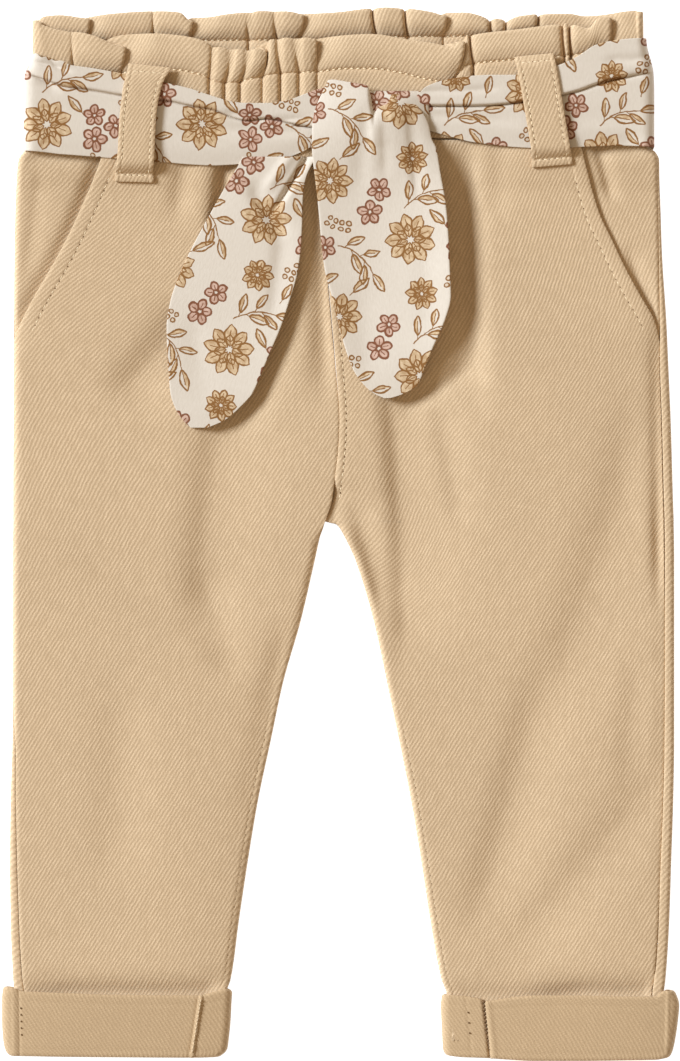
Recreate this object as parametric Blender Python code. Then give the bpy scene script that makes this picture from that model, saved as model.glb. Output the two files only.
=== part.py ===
"""Baby's paperbag-waist trousers with a printed tie belt, laid flat on a surface with the front up.

Blender 4.5, metres, +Z up. The origin lies on the surface, under the middle of the trousers' outline.
+Y runs from the hems to the waist, and +X to the wearer's left. Tables and sizes are in millimetres, and
placed_grid() turns them into metres. Every piece of cloth is its middle surface with a wall of its own, and
each height in a table is that of a middle surface, except where it says underside.
"""

import math
from collections import namedtuple

import bmesh
import bpy
import numpy as np
from mathutils import Vector

for leftover in list(bpy.data.objects):
    bpy.data.objects.remove(leftover)

MM = 0.001

# Walls and gaps
TWILL = 1.1  # one layer of cotton twill
CASING = 2.0  # the waist casing and frill, two layers of twill round an elastic
BELT = 1.2  # the belt, two layers of printed cotton
GAP = 0.3  # between pieces at a seam, or lying on each other
LYING = 0.6  # under what lies loose on a panel
INSEAM_GAP = 1.0  # between edges of the front and the back that roll towards each other

# Folded edges
FOLD = 2.8  # height of the fold at the side of a leg, from the lower layer to the upper one
ROLL = 5.0  # how far the inside leg rolls down to its seam
ROLL_TOP, ROLL_FULL = 2.0, -10.0  # that roll starts just below the crotch, and is whole at the second height
BELT_ROUND = 4.5  # how far from its side end the belt turns round the waist
CASING_ROUND = 3.0

# The belt's level at the waist
BACK_BELT_Z = 2.0  # it lies on the two back loops
BACK_CASING_Z = BACK_BELT_Z + BELT / 2 + GAP + CASING / 2
CASING_Z = 8.4
BELT_Z = CASING_Z + CASING / 2 + GAP + BELT / 2
WAIST_MID_Z = (BACK_CASING_Z + CASING_Z) / 2
FRILL_SINK = 1.7  # how far the frill's highest edge lies lower than the casing

WAIST = 157.0  # the seam between the legs and the casing
CROTCH = 3.4
CROTCH_OPEN = 17.0  # below this height the two legs part a little
HEM = -206.0  # the leg's own edge, inside the turn-up
HIP_TO_LEG = (40.0, -30.0)  # between these heights the section turns from a hip's into a leg's

Outline = namedtuple("Outline", "y right_side right_seam left_seam left_side")
# Outer edges of the flat legs, and their inner edge: the inside leg up to the crotch, then the centre seam
OUTLINE = [
    Outline(HEM, -130.4, -47.6, 43.4, 129.2),
    Outline(-183.0, -130.4, -45.6, 42.2, 129.2),
    Outline(-178.0, -130.9, -43.8, 40.2, 129.9),
    Outline(-155.0, -131.9, -40.6, 35.9, 131.4),
    Outline(-131.0, -132.2, -37.0, 32.2, 132.2),
    Outline(-107.0, -131.9, -33.0, 28.2, 133.0),
    Outline(-83.0, -131.2, -27.9, 23.4, 133.4),
    Outline(-59.0, -131.0, -22.8, 18.4, 133.4),
    Outline(-35.0, -131.0, -15.9, 13.2, 133.4),
    Outline(-11.0, -131.0, -10.3, 5.2, 133.4),
    Outline(CROTCH, -130.9, -3.7, -3.7, 133.2),
    Outline(17.0, -130.9, -2.2, -2.2, 132.9),
    Outline(45.0, -130.8, -0.4, -0.4, 132.0),
    Outline(66.0, -130.7, -1.8, -1.8, 131.1),
    Outline(84.0, -130.6, -3.4, -3.4, 130.3),
    Outline(98.0, -130.5, -4.6, -4.6, 129.5),
    Outline(112.0, -130.4, -5.8, -5.8, 128.5),
    Outline(130.0, -130.0, -7.3, -7.3, 127.9),
    Outline(142.0, -129.4, -8.3, -8.3, 127.4),
    Outline(149.0, -127.6, -8.9, -8.9, 126.4),
    Outline(151.6, -123.5, -9.1, -9.1, 122.4),
    Outline(WAIST, -122.7, -9.6, -9.6, 121.4),
]

Level = namedtuple("Level", "y under crest")
# Underside of the back, and the highest middle surface of the front
LEVELS = [
    Level(HEM, 1.4, 5.9),
    Level(-181.0, 1.4, 5.9),
    Level(-170.0, 0.05, 4.9),
    Level(-100.0, 0.0, 4.7),
    Level(0.0, 0.0, 4.9),
    Level(100.0, 0.0, 5.2),
    Level(125.0, 0.0, 5.6),
    Level(136.0, 0.3, 5.9),
    Level(142.0, 1.4, 7.0),
    Level(151.6, BACK_BELT_Z + BELT / 2 + GAP, 8.3),
    Level(WAIST, BACK_BELT_Z + BELT / 2 + GAP, CASING_Z),
]

Mouth = namedtuple("Mouth", "y right left")
# Edge of the slanted pocket mouths, which run into the side seams
MOUTH = [
    Mouth(84.0, -127.0, 125.4),
    Mouth(95.0, -122.6, 119.6),
    Mouth(106.0, -115.4, 113.6),
    Mouth(117.0, -109.4, 108.0),
    Mouth(128.0, -104.2, 103.0),
    Mouth(146.0, -96.6, 98.0),
    Mouth(WAIST, -93.0, 95.2),
]
MOUTH_EASE = 18.0  # below the mouth, over which the front settles down from the facing's thickness
FACING_UNDER = 10.0  # how far the pocket facing runs in under the front
FACING_EASE = 8.0  # above and below the mouth's low end, where the facing narrows
SIDE_STRIP = {"right": 2.9, "left": 3.9}  # the back's width on the front's side, up to the side seam

Trough = namedtuple("Trough", "side x0 y0 x1 y1 width depth")
# The largest soft folds of the fronts; they fade out where the front goes down to its edges
TROUGH_FADE = 1.6
TROUGHS = [
    Trough("left", 16.0, 54.0, 19.0, 20.0, 8.0, 0.8),
    Trough("left", 20.5, -2.0, 27.0, -44.0, 8.0, 0.8),
    Trough("left", 119.0, 54.0, 102.0, -12.0, 12.0, 0.6),
    Trough("left", 96.0, -28.0, 62.0, -104.0, 12.0, 0.8),
    Trough("left", 57.0, -120.0, 50.0, -160.0, 10.0, 0.6),
    Trough("right", -52.0, 30.0, -55.0, -12.0, 12.0, 0.6),
    Trough("right", -52.0, -22.0, -43.0, -46.0, 12.0, 0.6),
    Trough("right", -72.0, 80.0, -90.0, 58.0, 9.0, 0.6),
    Trough("right", -30.0, -64.0, -41.0, -106.0, 8.0, 0.6),
]

Pleat = namedtuple("Pleat", "x width depth")
FRONT_PLEATS = [
    Pleat(-104.0, 3.0, 0.5),
    Pleat(-86.0, 2.5, 1.6),
    Pleat(-67.5, 3.0, 0.6),
    Pleat(-52.0, 2.5, 0.9),
    Pleat(-43.0, 2.5, 1.0),
    Pleat(-30.0, 2.6, 1.6),
    Pleat(-20.0, 2.4, 0.9),
    Pleat(-9.6, 2.4, 1.4),
    Pleat(14.0, 4.0, 0.5),
    Pleat(36.0, 3.0, 0.6),
    Pleat(50.0, 2.6, 1.6),
    Pleat(63.0, 2.6, 0.7),
    Pleat(90.0, 2.6, 1.1),
    Pleat(107.0, 2.6, 1.4),
]
BACK_PLEATS = [
    Pleat(-75.0, 3.0, 0.7),
    Pleat(-58.0, 3.0, 1.2),
    Pleat(-30.0, 3.0, 0.7),
    Pleat(-14.4, 2.6, 1.2),
    Pleat(14.0, 3.0, 0.7),
    Pleat(26.0, 2.6, 1.2),
    Pleat(43.0, 3.0, 1.2),
    Pleat(64.0, 2.6, 0.8),
    Pleat(78.4, 2.6, 1.2),
    Pleat(98.0, 3.0, 0.6),
]

FrillTop = namedtuple("FrillTop", "x y")
FRONT_TOP = [
    FrillTop(-122.0, 203.0),
    FrillTop(-106.0, 199.4),
    FrillTop(-88.0, 194.6),
    FrillTop(-84.0, 198.6),
    FrillTop(-66.0, 197.8),
    FrillTop(-49.0, 194.4),
    FrillTop(-31.0, 191.6),
    FrillTop(-28.0, 195.6),
    FrillTop(0.0, 198.2),
    FrillTop(17.0, 198.6),
    FrillTop(40.0, 196.2),
    FrillTop(49.0, 193.8),
    FrillTop(52.0, 197.8),
    FrillTop(90.0, 202.8),
    FrillTop(105.6, 201.4),
    FrillTop(109.0, 207.0),
    FrillTop(121.2, 208.2),
]
BACK_TOP = [
    FrillTop(-122.0, 203.0),
    FrillTop(-115.0, 206.0),
    FrillTop(-96.0, 207.0),
    FrillTop(-77.0, 208.6),
    FrillTop(-64.0, 207.8),
    FrillTop(-57.0, 205.4),
    FrillTop(-40.0, 206.6),
    FrillTop(-24.0, 208.6),
    FrillTop(-4.0, 207.8),
    FrillTop(12.0, 209.8),
    FrillTop(32.0, 210.6),
    FrillTop(44.0, 209.4),
    FrillTop(60.0, 206.4),
    FrillTop(65.0, 205.6),
    FrillTop(72.0, 207.2),
    FrillTop(87.0, 208.4),
    FrillTop(104.0, 207.0),
    FrillTop(121.2, 208.2),
]
STITCH_LINE = 185.0  # the seam that closes the casing below the frill
SINK_FROM, SINK_TO = 198.5, 206.0  # heights between which the frill sinks by FRILL_SINK
LIP = 0.58  # share of the frill's height from which its pleats open to their full depth
ELASTIC_SHARE = 0.5  # depth of the pleats at the casing's lower seam, as a share of that at its stitching
PLEAT_FILL = 12.0  # widest step between two pleats' stations

Band = namedtuple("Band", "x top bottom")
RIGHT_BELT = [
    Band(-125.6, 189.5, 152.8),
    Band(-110.0, 186.8, 150.6),
    Band(-86.0, 183.0, 149.3),
    Band(-67.0, 179.2, 147.9),
    Band(-49.0, 173.8, 146.8),
    Band(-33.0, 171.4, 147.4),
    Band(-20.6, 172.6, 150.2),
    Band(-11.6, 176.0, 153.6),
]
LEFT_BELT = [
    Band(36.6, 176.0, 160.2),
    Band(41.6, 180.6, 158.6),
    Band(59.4, 182.8, 155.6),
    Band(74.0, 183.2, 154.4),
    Band(86.0, 185.8, 154.2),
    Band(101.6, 194.4, 154.4),
    Band(109.4, 196.4, 154.6),
    Band(124.3, 197.4, 154.2),
]
BACK_BELT = [Band(-125.6, 189.5, 152.8), Band(0.0, 192.5, 153.2), Band(124.3, 197.4, 154.2)]
KNOT = [
    Band(-11.2, 175.4, 153.9),
    Band(-4.2, 180.4, 154.6),
    Band(1.0, 180.2, 155.1),
    Band(11.4, 178.2, 156.1),
    Band(20.0, 175.2, 157.0),
    Band(30.0, 174.2, 158.0),
    Band(36.2, 168.0, 158.6),
]
KNOT_CROWN = 4.6  # how high the knot stands over the belt
KNOT_TOP_FALL = 0.8  # share of that by which it is lower at its top edge

Tail = namedtuple("Tail", "y left right")
RIGHT_TAIL = [
    Tail(42.2, -58.6, -54.6),
    Tail(43.4, -61.2, -50.0),
    Tail(45.6, -63.6, -45.6),
    Tail(50.6, -66.4, -39.8),
    Tail(57.4, -68.2, -34.6),
    Tail(69.8, -69.2, -28.8),
    Tail(82.6, -69.2, -23.6),
    Tail(93.0, -67.8, -20.2),
    Tail(103.4, -64.2, -17.2),
    Tail(113.0, -59.8, -15.8),
    Tail(124.2, -53.8, -15.2),
    Tail(132.2, -49.4, -15.0),
    Tail(139.8, -44.4, -14.6),
    Tail(147.0, -41.4, -13.4),
]
LEFT_TAIL = [
    Tail(54.2, 16.6, 20.4),
    Tail(55.4, 14.0, 24.6),
    Tail(59.0, 9.4, 30.4),
    Tail(65.4, 5.0, 33.6),
    Tail(73.4, 1.8, 36.8),
    Tail(85.4, -1.6, 41.8),
    Tail(94.2, -3.6, 44.0),
    Tail(105.4, -6.2, 43.8),
    Tail(115.4, -7.8, 43.2),
    Tail(131.0, -9.2, 41.8),
    Tail(144.0, -10.4, 39.6),
    Tail(155.8, -11.4, 37.0),
]
TAIL_LIFT = 2.6  # how much higher the left tail leaves the knot than it would lie
LIFT_FROM, LIFT_TO = 118.0, 154.0

Loop = namedtuple("Loop", "y x width over_belt")
RIGHT_LOOP = [
    Loop(141.0, -82.2, 15.2, 0.0),
    Loop(144.4, -82.2, 15.2, 0.15),
    Loop(147.6, -81.8, 14.6, 1.0),
    Loop(166.0, -80.9, 14.4, 1.0),
    Loop(178.0, -79.0, 15.0, 1.0),
    Loop(183.6, -76.8, 16.2, 1.0),
    Loop(185.2, -76.2, 16.8, 0.5),
    Loop(186.8, -75.8, 17.0, 0.0),
]
LEFT_LOOP = [
    Loop(146.6, 84.4, 15.6, 0.0),
    Loop(149.4, 84.2, 15.6, 0.15),
    Loop(152.6, 83.8, 15.4, 1.0),
    Loop(168.0, 81.2, 15.4, 1.0),
    Loop(182.0, 78.8, 15.4, 1.0),
    Loop(186.6, 77.8, 15.4, 1.0),
    Loop(188.8, 77.4, 15.4, 0.5),
    Loop(190.8, 77.0, 15.4, 0.0),
]
BACK_LOOP_X = 62.0
BACK_LOOP_WIDTH = 14.0
BACK_LOOP_ENDS = (143.5, 198.0)
LOOP_STEP = 18.0

TurnUp = namedtuple("TurnUp", "y right_side right_inside left_inside left_side")
# Outer edges of the turned-up hems; their lower edge bows down by BOW in the middle
TURN_UP = [
    TurnUp(-208.4, -131.6, -48.6, 42.6, 131.6),
    TurnUp(-206.0, -133.9, -45.4, 41.2, 132.9),
    TurnUp(-202.0, -135.0, -44.5, 40.4, 133.8),
    TurnUp(-195.0, -135.4, -43.8, 40.2, 134.8),
    TurnUp(-187.0, -135.4, -43.4, 39.8, 135.4),
    TurnUp(-182.6, -134.8, -43.2, 40.4, 133.2),
]
BOW = {"right": 1.6, "left": 2.2}
TURN_UP_CLEAR = 0.05  # its underside over the surface, as that of the lower legs

BEIGE = (0.62, 0.47, 0.31)
BEIGE_REVERSE = (0.57, 0.43, 0.28)
CREAM = (0.80, 0.74, 0.66)


def read(table, column, at):
    """A table's column, between the rows around the value of its first column."""
    keys = [row[0] for row in table]
    return float(np.interp(at, keys, [getattr(row, column) for row in table]))


def smooth(share):
    share = min(max(share, 0.0), 1.0)
    return share * share * (3.0 - 2.0 * share)


def ease(value, start, end):
    """Smooth step from 0 at start to 1 at end, which may lie below the start."""
    return smooth((value - start) / (end - start))


def rounded(distance, reach):
    """Rise of a quarter round, from 0 at the edge to 1 where the cloth lies level."""
    share = 1.0 - min(max(distance, 0.0) / reach, 1.0)
    return math.sqrt(1.0 - share * share)


def spread(first, last, most):
    """Values from first to last in equal steps of at most that much."""
    steps = max(1, math.ceil(abs(last - first) / most))
    return [first + (last - first) * step / steps for step in range(steps + 1)]


def material(name, colour, roughness):
    made = bpy.data.materials.new(name)
    made.use_nodes = True
    shader = made.node_tree.nodes["Principled BSDF"]
    shader.inputs["Base Color"].default_value = (*colour, 1.0)
    shader.inputs["Roughness"].default_value = roughness
    shader.inputs["Metallic"].default_value = 0.0
    return made


def add_object(name, cloth, colour, roughness):
    mesh = bpy.data.meshes.new(name)
    cloth.to_mesh(mesh)
    cloth.free()
    mesh.shade_smooth()
    mesh.materials.append(material(name, colour, roughness))
    made = bpy.data.objects.new(name, mesh)
    bpy.context.scene.collection.objects.link(made)
    return made


def placed_grid(columns, rows, place):
    """A grid with a point at place(column, row) for each of the columns and rows."""
    cloth = bmesh.new()
    bmesh.ops.create_grid(cloth, x_segments=len(columns) - 1, y_segments=len(rows) - 1, size=0.5)
    for point in cloth.verts:
        column = columns[round((point.co.x + 0.5) * (len(columns) - 1))]
        row = rows[round((point.co.y + 0.5) * (len(rows) - 1))]
        point.co = Vector(place(column, row)) * MM
    return cloth


def sheet(name, columns, rows, place, wall, colour, closed=False):
    """A wall of cloth on the middle surface that place gives; a closed one meets itself as a tube."""
    cloth = placed_grid(columns, rows, place)
    if closed:
        bmesh.ops.remove_doubles(cloth, verts=cloth.verts, dist=0.01 * MM)
    bmesh.ops.recalc_face_normals(cloth, faces=cloth.faces)
    made = add_object(name, cloth, colour, 0.85)
    solid = made.modifiers.new("Wall", "SOLIDIFY")
    solid.thickness = wall * MM
    solid.offset = 0.0
    solid.use_even_offset = True
    return made


# Legs

ROWS = [row.y for row in OUTLINE]
LEVEL_SHARES = [0.0, 0.07, 0.17, 0.29, 0.41, 0.53, 0.65, 0.77, 0.88]
ROLL_ANGLES = [90.0, 50.0, 16.0, 0.0]


def side_of(which, y):
    """Middle surface at the outer edge of a leg."""
    inwards = 1.0 if which == "right" else -1.0
    return read(OUTLINE, which + "_side", y) + inwards * TWILL / 2


def seam_of(which, y):
    """Middle surface at the inner edge of a leg: at the inside leg, or beside the centre seam."""
    outwards = -1.0 if which == "right" else 1.0
    room = GAP / 2 + (TWILL - GAP) / 2 * ease(y, CROTCH_OPEN, ROLL_TOP)
    return read(OUTLINE, which + "_seam", y) + outwards * room


def rolled(y):
    """How far the inner edges roll together: not above the crotch, and fully a little below it."""
    return ease(y, ROLL_TOP, ROLL_FULL)


def trough_drop(which, x, y):
    drop = 0.0
    for trough in TROUGHS:
        if trough.side != which:
            continue
        length_x, length_y = trough.x1 - trough.x0, trough.y1 - trough.y0
        length = length_x * length_x + length_y * length_y
        share = ((x - trough.x0) * length_x + (y - trough.y0) * length_y) / length
        share = min(max(share, 0.0), 1.0)
        away = math.hypot(x - trough.x0 - share * length_x, y - trough.y0 - share * length_y)
        drop += trough.depth * math.exp(-((away / trough.width) ** 2))
    return drop


def front_height(which, x, y):
    """Middle surface of the front, which the facing, the belt loops and the tails follow."""
    side, seam = side_of(which, y), seam_of(which, y)
    across = min(max((x - side) / (seam - side), 0.0), 1.0)
    leg_share = ease(y, *HIP_TO_LEG)
    hip_hump = 1.0 - (1.0 - across) ** 3
    leg_hump = 1.0 - abs(2.0 * across - 1.0) ** 3
    hump = leg_hump * leg_share + hip_hump * (1.0 - leg_share)
    back = read(LEVELS, "under", y) + TWILL / 2
    pocket_lift = (TWILL + GAP) * ease(y, MOUTH[0].y - MOUTH_EASE, MOUTH[0].y)
    edge = back + FOLD + pocket_lift
    top = edge + (read(LEVELS, "crest", y) - edge) * hump
    top -= trough_drop(which, x, y) * min(1.0, TROUGH_FADE * hump)
    middle = back + (FOLD + INSEAM_GAP) / 2
    return middle + (top - middle) * (1.0 - rolled(y) * (1.0 - rounded(abs(seam - x), ROLL)))


def front_edge(which, y):
    """Outer edge of the front: the side seam, and the pocket mouth above the pocket's lower end."""
    inwards = 1.0 if which == "right" else -1.0
    side_seam = side_of(which, y) + inwards * (SIDE_STRIP[which] + GAP)
    if y < MOUTH[0].y:
        return side_seam
    mouth = read(MOUTH, which, y)
    return max(side_seam, mouth) if which == "right" else min(side_seam, mouth)


def front_columns(which, y):
    start, end = front_edge(which, y), seam_of(which, y)
    inwards = 1.0 if end > start else -1.0
    knee = end - inwards * ROLL
    level = [start + share * (knee - start) for share in LEVEL_SHARES]
    return level + [end - inwards * ROLL * (1.0 - math.cos(math.radians(a))) for a in ROLL_ANGLES]


def make_front(which):
    def place(column, y):
        x = front_columns(which, y)[column]
        return x, y, front_height(which, x, y)

    count = len(LEVEL_SHARES) + len(ROLL_ANGLES)
    sheet("front_leg_" + which, list(range(count)), ROWS, place, TWILL, BEIGE)


BACK_SHARES = [0.0, 0.35, 0.7]
SIDE_ANGLES = [180.0, 135.0, 90.0, 45.0, 0.0]


def back_section(which, y):
    """Points (x, z) of the back: from the side seam, round the side and along under to the inner edge."""
    side, seam = side_of(which, y), seam_of(which, y)
    inwards = 1.0 if seam > side else -1.0
    radius = FOLD / 2
    low = read(LEVELS, "under", y) + TWILL / 2
    centre = side + inwards * radius
    points = [(side + inwards * SIDE_STRIP[which], low + FOLD)]
    for angle in SIDE_ANGLES:
        turn = math.radians(angle)
        points.append((centre - inwards * radius * math.sin(turn), low + radius - radius * math.cos(turn)))
    knee = seam - inwards * ROLL
    points += [(centre + share * (knee - centre), low) for share in BACK_SHARES[1:]]
    rise = (FOLD - INSEAM_GAP) / 2 * rolled(y)
    for angle in ROLL_ANGLES:
        turn = math.radians(angle)
        x = seam - inwards * ROLL * (1.0 - math.cos(turn))
        points.append((x, low + rise * (1.0 - math.sin(turn))))
    return points


def make_back(which):
    def place(column, y):
        x, z = back_section(which, y)[column]
        return x, y, z

    count = len(back_section(which, 0.0))
    sheet("back_leg_" + which, list(range(count)), ROWS, place, TWILL, BEIGE)


def make_facing(which):
    """The pocket facing: from the side seam in under the front, a cloth's thickness below it."""
    inwards = 1.0 if which == "right" else -1.0
    low_end = MOUTH[0].y

    def place(share, y):
        start = side_of(which, y) + inwards * (SIDE_STRIP[which] + 1.5 * GAP)
        reach = FACING_UNDER * ease(y, low_end - FACING_EASE, low_end + FACING_EASE)
        end = read(MOUTH, which, y) + inwards * reach
        x = start + share * (end - start)
        return x, y, front_height(which, x, y) - TWILL - GAP

    rows = [y for y in ROWS if y >= low_end]
    sheet("pocket_facing_" + which, spread(0.0, 1.0, 0.2), rows, place, TWILL, BEIGE)


def make_turn_up(which):
    """The hem turned up outside the leg: a flat tube all round the leg's end."""
    inwards = 1.0 if which == "right" else -1.0
    angles = [0.0, 45.0, 90.0, 135.0, 180.0]
    shares = [0.0, 0.14, 0.32, 0.5, 0.68, 0.86, 1.0]
    count = 2 * len(angles) + 2 * (len(shares) - 2)

    def section(y):
        outer = read(TURN_UP, which + "_side", y) + inwards * TWILL / 2
        inner = read(TURN_UP, which + "_inside", y) - inwards * TWILL / 2
        low = TWILL / 2 + TURN_UP_CLEAR
        lift = TWILL + GAP
        leg_edge = read(LEVELS, "under", HEM) + TWILL / 2 + FOLD
        radius = (leg_edge + lift - low) / 2
        start, end = outer + inwards * radius, inner - inwards * radius
        crest = read(LEVELS, "crest", HEM) + lift
        points = []
        for angle in angles:
            turn = math.radians(angle)
            z = low + radius - radius * math.cos(turn)
            points.append((start - inwards * radius * math.sin(turn), z))
        for share in shares[1:-1]:
            hump = 1.0 - abs(2.0 * share - 1.0) ** 3
            z = leg_edge + lift + (crest - leg_edge - lift) * hump
            points.append((start + share * (end - start), z))
        for angle in angles:
            turn = math.radians(angle)
            z = low + radius + radius * math.cos(turn)
            points.append((end + inwards * radius * math.sin(turn), z))
        points += [(end + share * (start - end), low) for share in shares[1:-1]]
        return points

    def place(column, y):
        x, z = section(y)[column % count]
        outer, inner = read(TURN_UP, which + "_side", y), read(TURN_UP, which + "_inside", y)
        across = (x - outer) / (inner - outer)
        share_down = (TURN_UP[-1].y - y) / (TURN_UP[-1].y - TURN_UP[0].y)
        return x, y - BOW[which] * share_down * (1.0 - (2.0 * across - 1.0) ** 2), z

    rows = [row.y for row in TURN_UP]
    sheet("turn_up_" + which, list(range(count + 1)), rows, place, TWILL, BEIGE_REVERSE, closed=True)


# Waist

END_ANGLES = [0.0, 15.0, 40.0, 65.0, 90.0]


def with_round_ends(first, last, reach, between):
    """Stations across a piece whose two ends turn round the waist."""
    steps = [reach * (1.0 - math.cos(math.radians(angle))) for angle in END_ANGLES]
    clear = reach + 1.0
    middle = [x for x in between if first + clear < x < last - clear]
    return [first + step for step in steps] + middle + [last - step for step in reversed(steps)]


def pleat_stations(pleats, first, last):
    stations = []
    for pleat in pleats:
        stations += [pleat.x - pleat.width, pleat.x, pleat.x + pleat.width]
    filled = []
    for here, after in zip([first] + stations, stations + [last]):
        filled += spread(here, after, PLEAT_FILL)[:-1]
    return filled[1:]


def pleat_drop(pleats, x):
    return sum(p.depth * max(0.0, 1.0 - abs(x - p.x) / p.width) for p in pleats)


def make_casing(name, pleats, casing_share, top_edge, level, ends_gap):
    """Casing and frill of the front or the back; the casing has casing_share of the frill's pleats."""
    first, last = FRONT_TOP[0].x, FRONT_TOP[-1].x
    stations = with_round_ends(first, last, CASING_ROUND, pleat_stations(pleats, first, last))
    lower = WAIST + GAP
    shares = [(0.0, 0.0), (0.5, 0.0), (1.0, 0.0), (1.0, LIP), (1.0, 1.0)]

    def place(x, share):
        up_casing, up_frill = share
        top = read(top_edge, "y", x)
        y = lower + (STITCH_LINE - lower) * up_casing + (top - STITCH_LINE) * up_frill
        gathered = casing_share * (ELASTIC_SHARE + (1.0 - ELASTIC_SHARE) * up_casing)
        opened = gathered + (1.0 - gathered) * ease(up_frill, LIP, 1.0)
        height = level - pleat_drop(pleats, x) * opened
        around = min(rounded(x - first, CASING_ROUND), rounded(last - x, CASING_ROUND))
        middle = WAIST_MID_Z + ends_gap / 2
        sink = FRILL_SINK * ease(y, SINK_FROM, SINK_TO)
        return x, y, middle + (height - middle) * around - sink

    sheet(name, stations, shares, place, CASING, BEIGE)


def make_belt_band(name, table, first_round, last_round, level, ends_gap, steps):
    """A stretch of the belt; an end that turns round the waist rolls to the middle of its height."""
    first, last = table[0].x, table[-1].x
    stations = with_round_ends(first, last, BELT_ROUND, spread(first, last, steps)[1:-1])
    if not first_round:
        stations = [first] + [x for x in stations if x > first + BELT_ROUND]
    if not last_round:
        stations = [x for x in stations if x < last - BELT_ROUND] + [last]

    def place(x, share):
        low, high = read(table, "bottom", x), read(table, "top", x)
        around = 1.0
        if first_round:
            around = min(around, rounded(x - first, BELT_ROUND))
        if last_round:
            around = min(around, rounded(last - x, BELT_ROUND))
        middle = WAIST_MID_Z + ends_gap / 2
        return x, low + share * (high - low), middle + (level - middle) * around

    sheet(name, stations, [0.0, 0.5, 1.0], place, BELT, CREAM)


def make_front_loop(which, table):
    """A belt loop: sewn to the front below the belt and to the casing above it, with the belt under it."""
    over = BELT_Z + BELT / 2 + GAP + TWILL / 2

    def place(share, y):
        x = read(table, "x", y) + share * read(table, "width", y)
        if y > WAIST:
            lying = CASING_Z + CASING / 2 + GAP + TWILL / 2
        else:
            lying = front_height(which, x, y) + TWILL + GAP
        return x, y, lying + (over - lying) * read(table, "over_belt", y)

    sheet("belt_loop_front_" + which, [-0.5, 0.0, 0.5], [row.y for row in table], place, TWILL, BEIGE)


def make_back_loop(which):
    centre = -BACK_LOOP_X if which == "right" else BACK_LOOP_X
    low, high = BACK_LOOP_ENDS

    def place(share, y):
        return centre + share * BACK_LOOP_WIDTH, y, TWILL / 2

    sheet("belt_loop_back_" + which, [-0.5, 0.0, 0.5], spread(low, high, LOOP_STEP), place, TWILL, BEIGE)


def make_knot():
    """The half knot: the hidden crossing of the belt is one rounded solid under its cap."""
    base = CASING_Z + CASING / 2 + GAP
    first, last = KNOT[0].x, KNOT[-1].x

    def place(across, up):
        x = first + across * (last - first)
        low, high = read(KNOT, "bottom", x), read(KNOT, "top", x)
        dome = math.sqrt(max(0.0, 1.0 - abs(2.0 * across - 1.0) ** 3))
        dome *= 1.0 - KNOT_TOP_FALL * max(0.0, 2.0 * up - 1.0) ** 3
        return x, low + up * (high - low), base + BELT + KNOT_CROWN * dome

    cloth = placed_grid(spread(0.0, 1.0, 1 / 10), spread(0.0, 1.0, 1 / 6), place)
    underside = bmesh.ops.extrude_face_region(cloth, geom=cloth.faces)
    for part in underside["geom"]:
        if isinstance(part, bmesh.types.BMVert):
            part.co.z = base * MM
    bmesh.ops.recalc_face_normals(cloth, faces=cloth.faces)
    add_object("belt_knot", cloth, CREAM, 0.8)


def make_tail(which, table, top_edge, lift):
    """A hanging end of the belt, lying on the fronts; its top edge follows what it comes out of."""
    rows = [row.y for row in table]

    def place(across, y):
        left, right = read(table, "left", y), read(table, "right", y)
        x = left + across * (right - left)
        near_top = ease(y, rows[-4], rows[-1])
        y += (read(top_edge, "bottom", x) - LYING - rows[-1]) * near_top
        height_of = "right" if x < read(OUTLINE, "right_seam", y) else "left"
        height = front_height(height_of, x, y) + (TWILL + BELT) / 2 + LYING
        return x, y, height + lift * ease(y, LIFT_FROM, LIFT_TO)

    sheet("belt_tail_" + which, [0.0, 0.1, 0.3, 0.5, 0.7, 0.9, 1.0], rows, place, BELT, CREAM)


for wearers in ("right", "left"):
    make_back(wearers)
    make_facing(wearers)
    make_front(wearers)
    make_turn_up(wearers)
    make_back_loop(wearers)

make_casing("waistband_back", BACK_PLEATS, 0.0, BACK_TOP, BACK_CASING_Z, -INSEAM_GAP)
make_casing("waistband_front", FRONT_PLEATS, 1.0, FRONT_TOP, CASING_Z, INSEAM_GAP)

make_belt_band("belt_back", BACK_BELT, True, True, BACK_BELT_Z, -INSEAM_GAP, 20.0)
make_belt_band("belt_front_right", RIGHT_BELT, True, False, BELT_Z, INSEAM_GAP, 9.0)
make_belt_band("belt_front_left", LEFT_BELT, False, True, BELT_Z, INSEAM_GAP, 9.0)
make_front_loop("right", RIGHT_LOOP)
make_front_loop("left", LEFT_LOOP)
make_knot()
make_tail("right", RIGHT_TAIL, RIGHT_BELT, 0.0)
make_tail("left", LEFT_TAIL, KNOT, TAIL_LIFT)
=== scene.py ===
import math
from collections import namedtuple

import bmesh
import bpy
import numpy as np
from mathutils import Matrix, Vector


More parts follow.
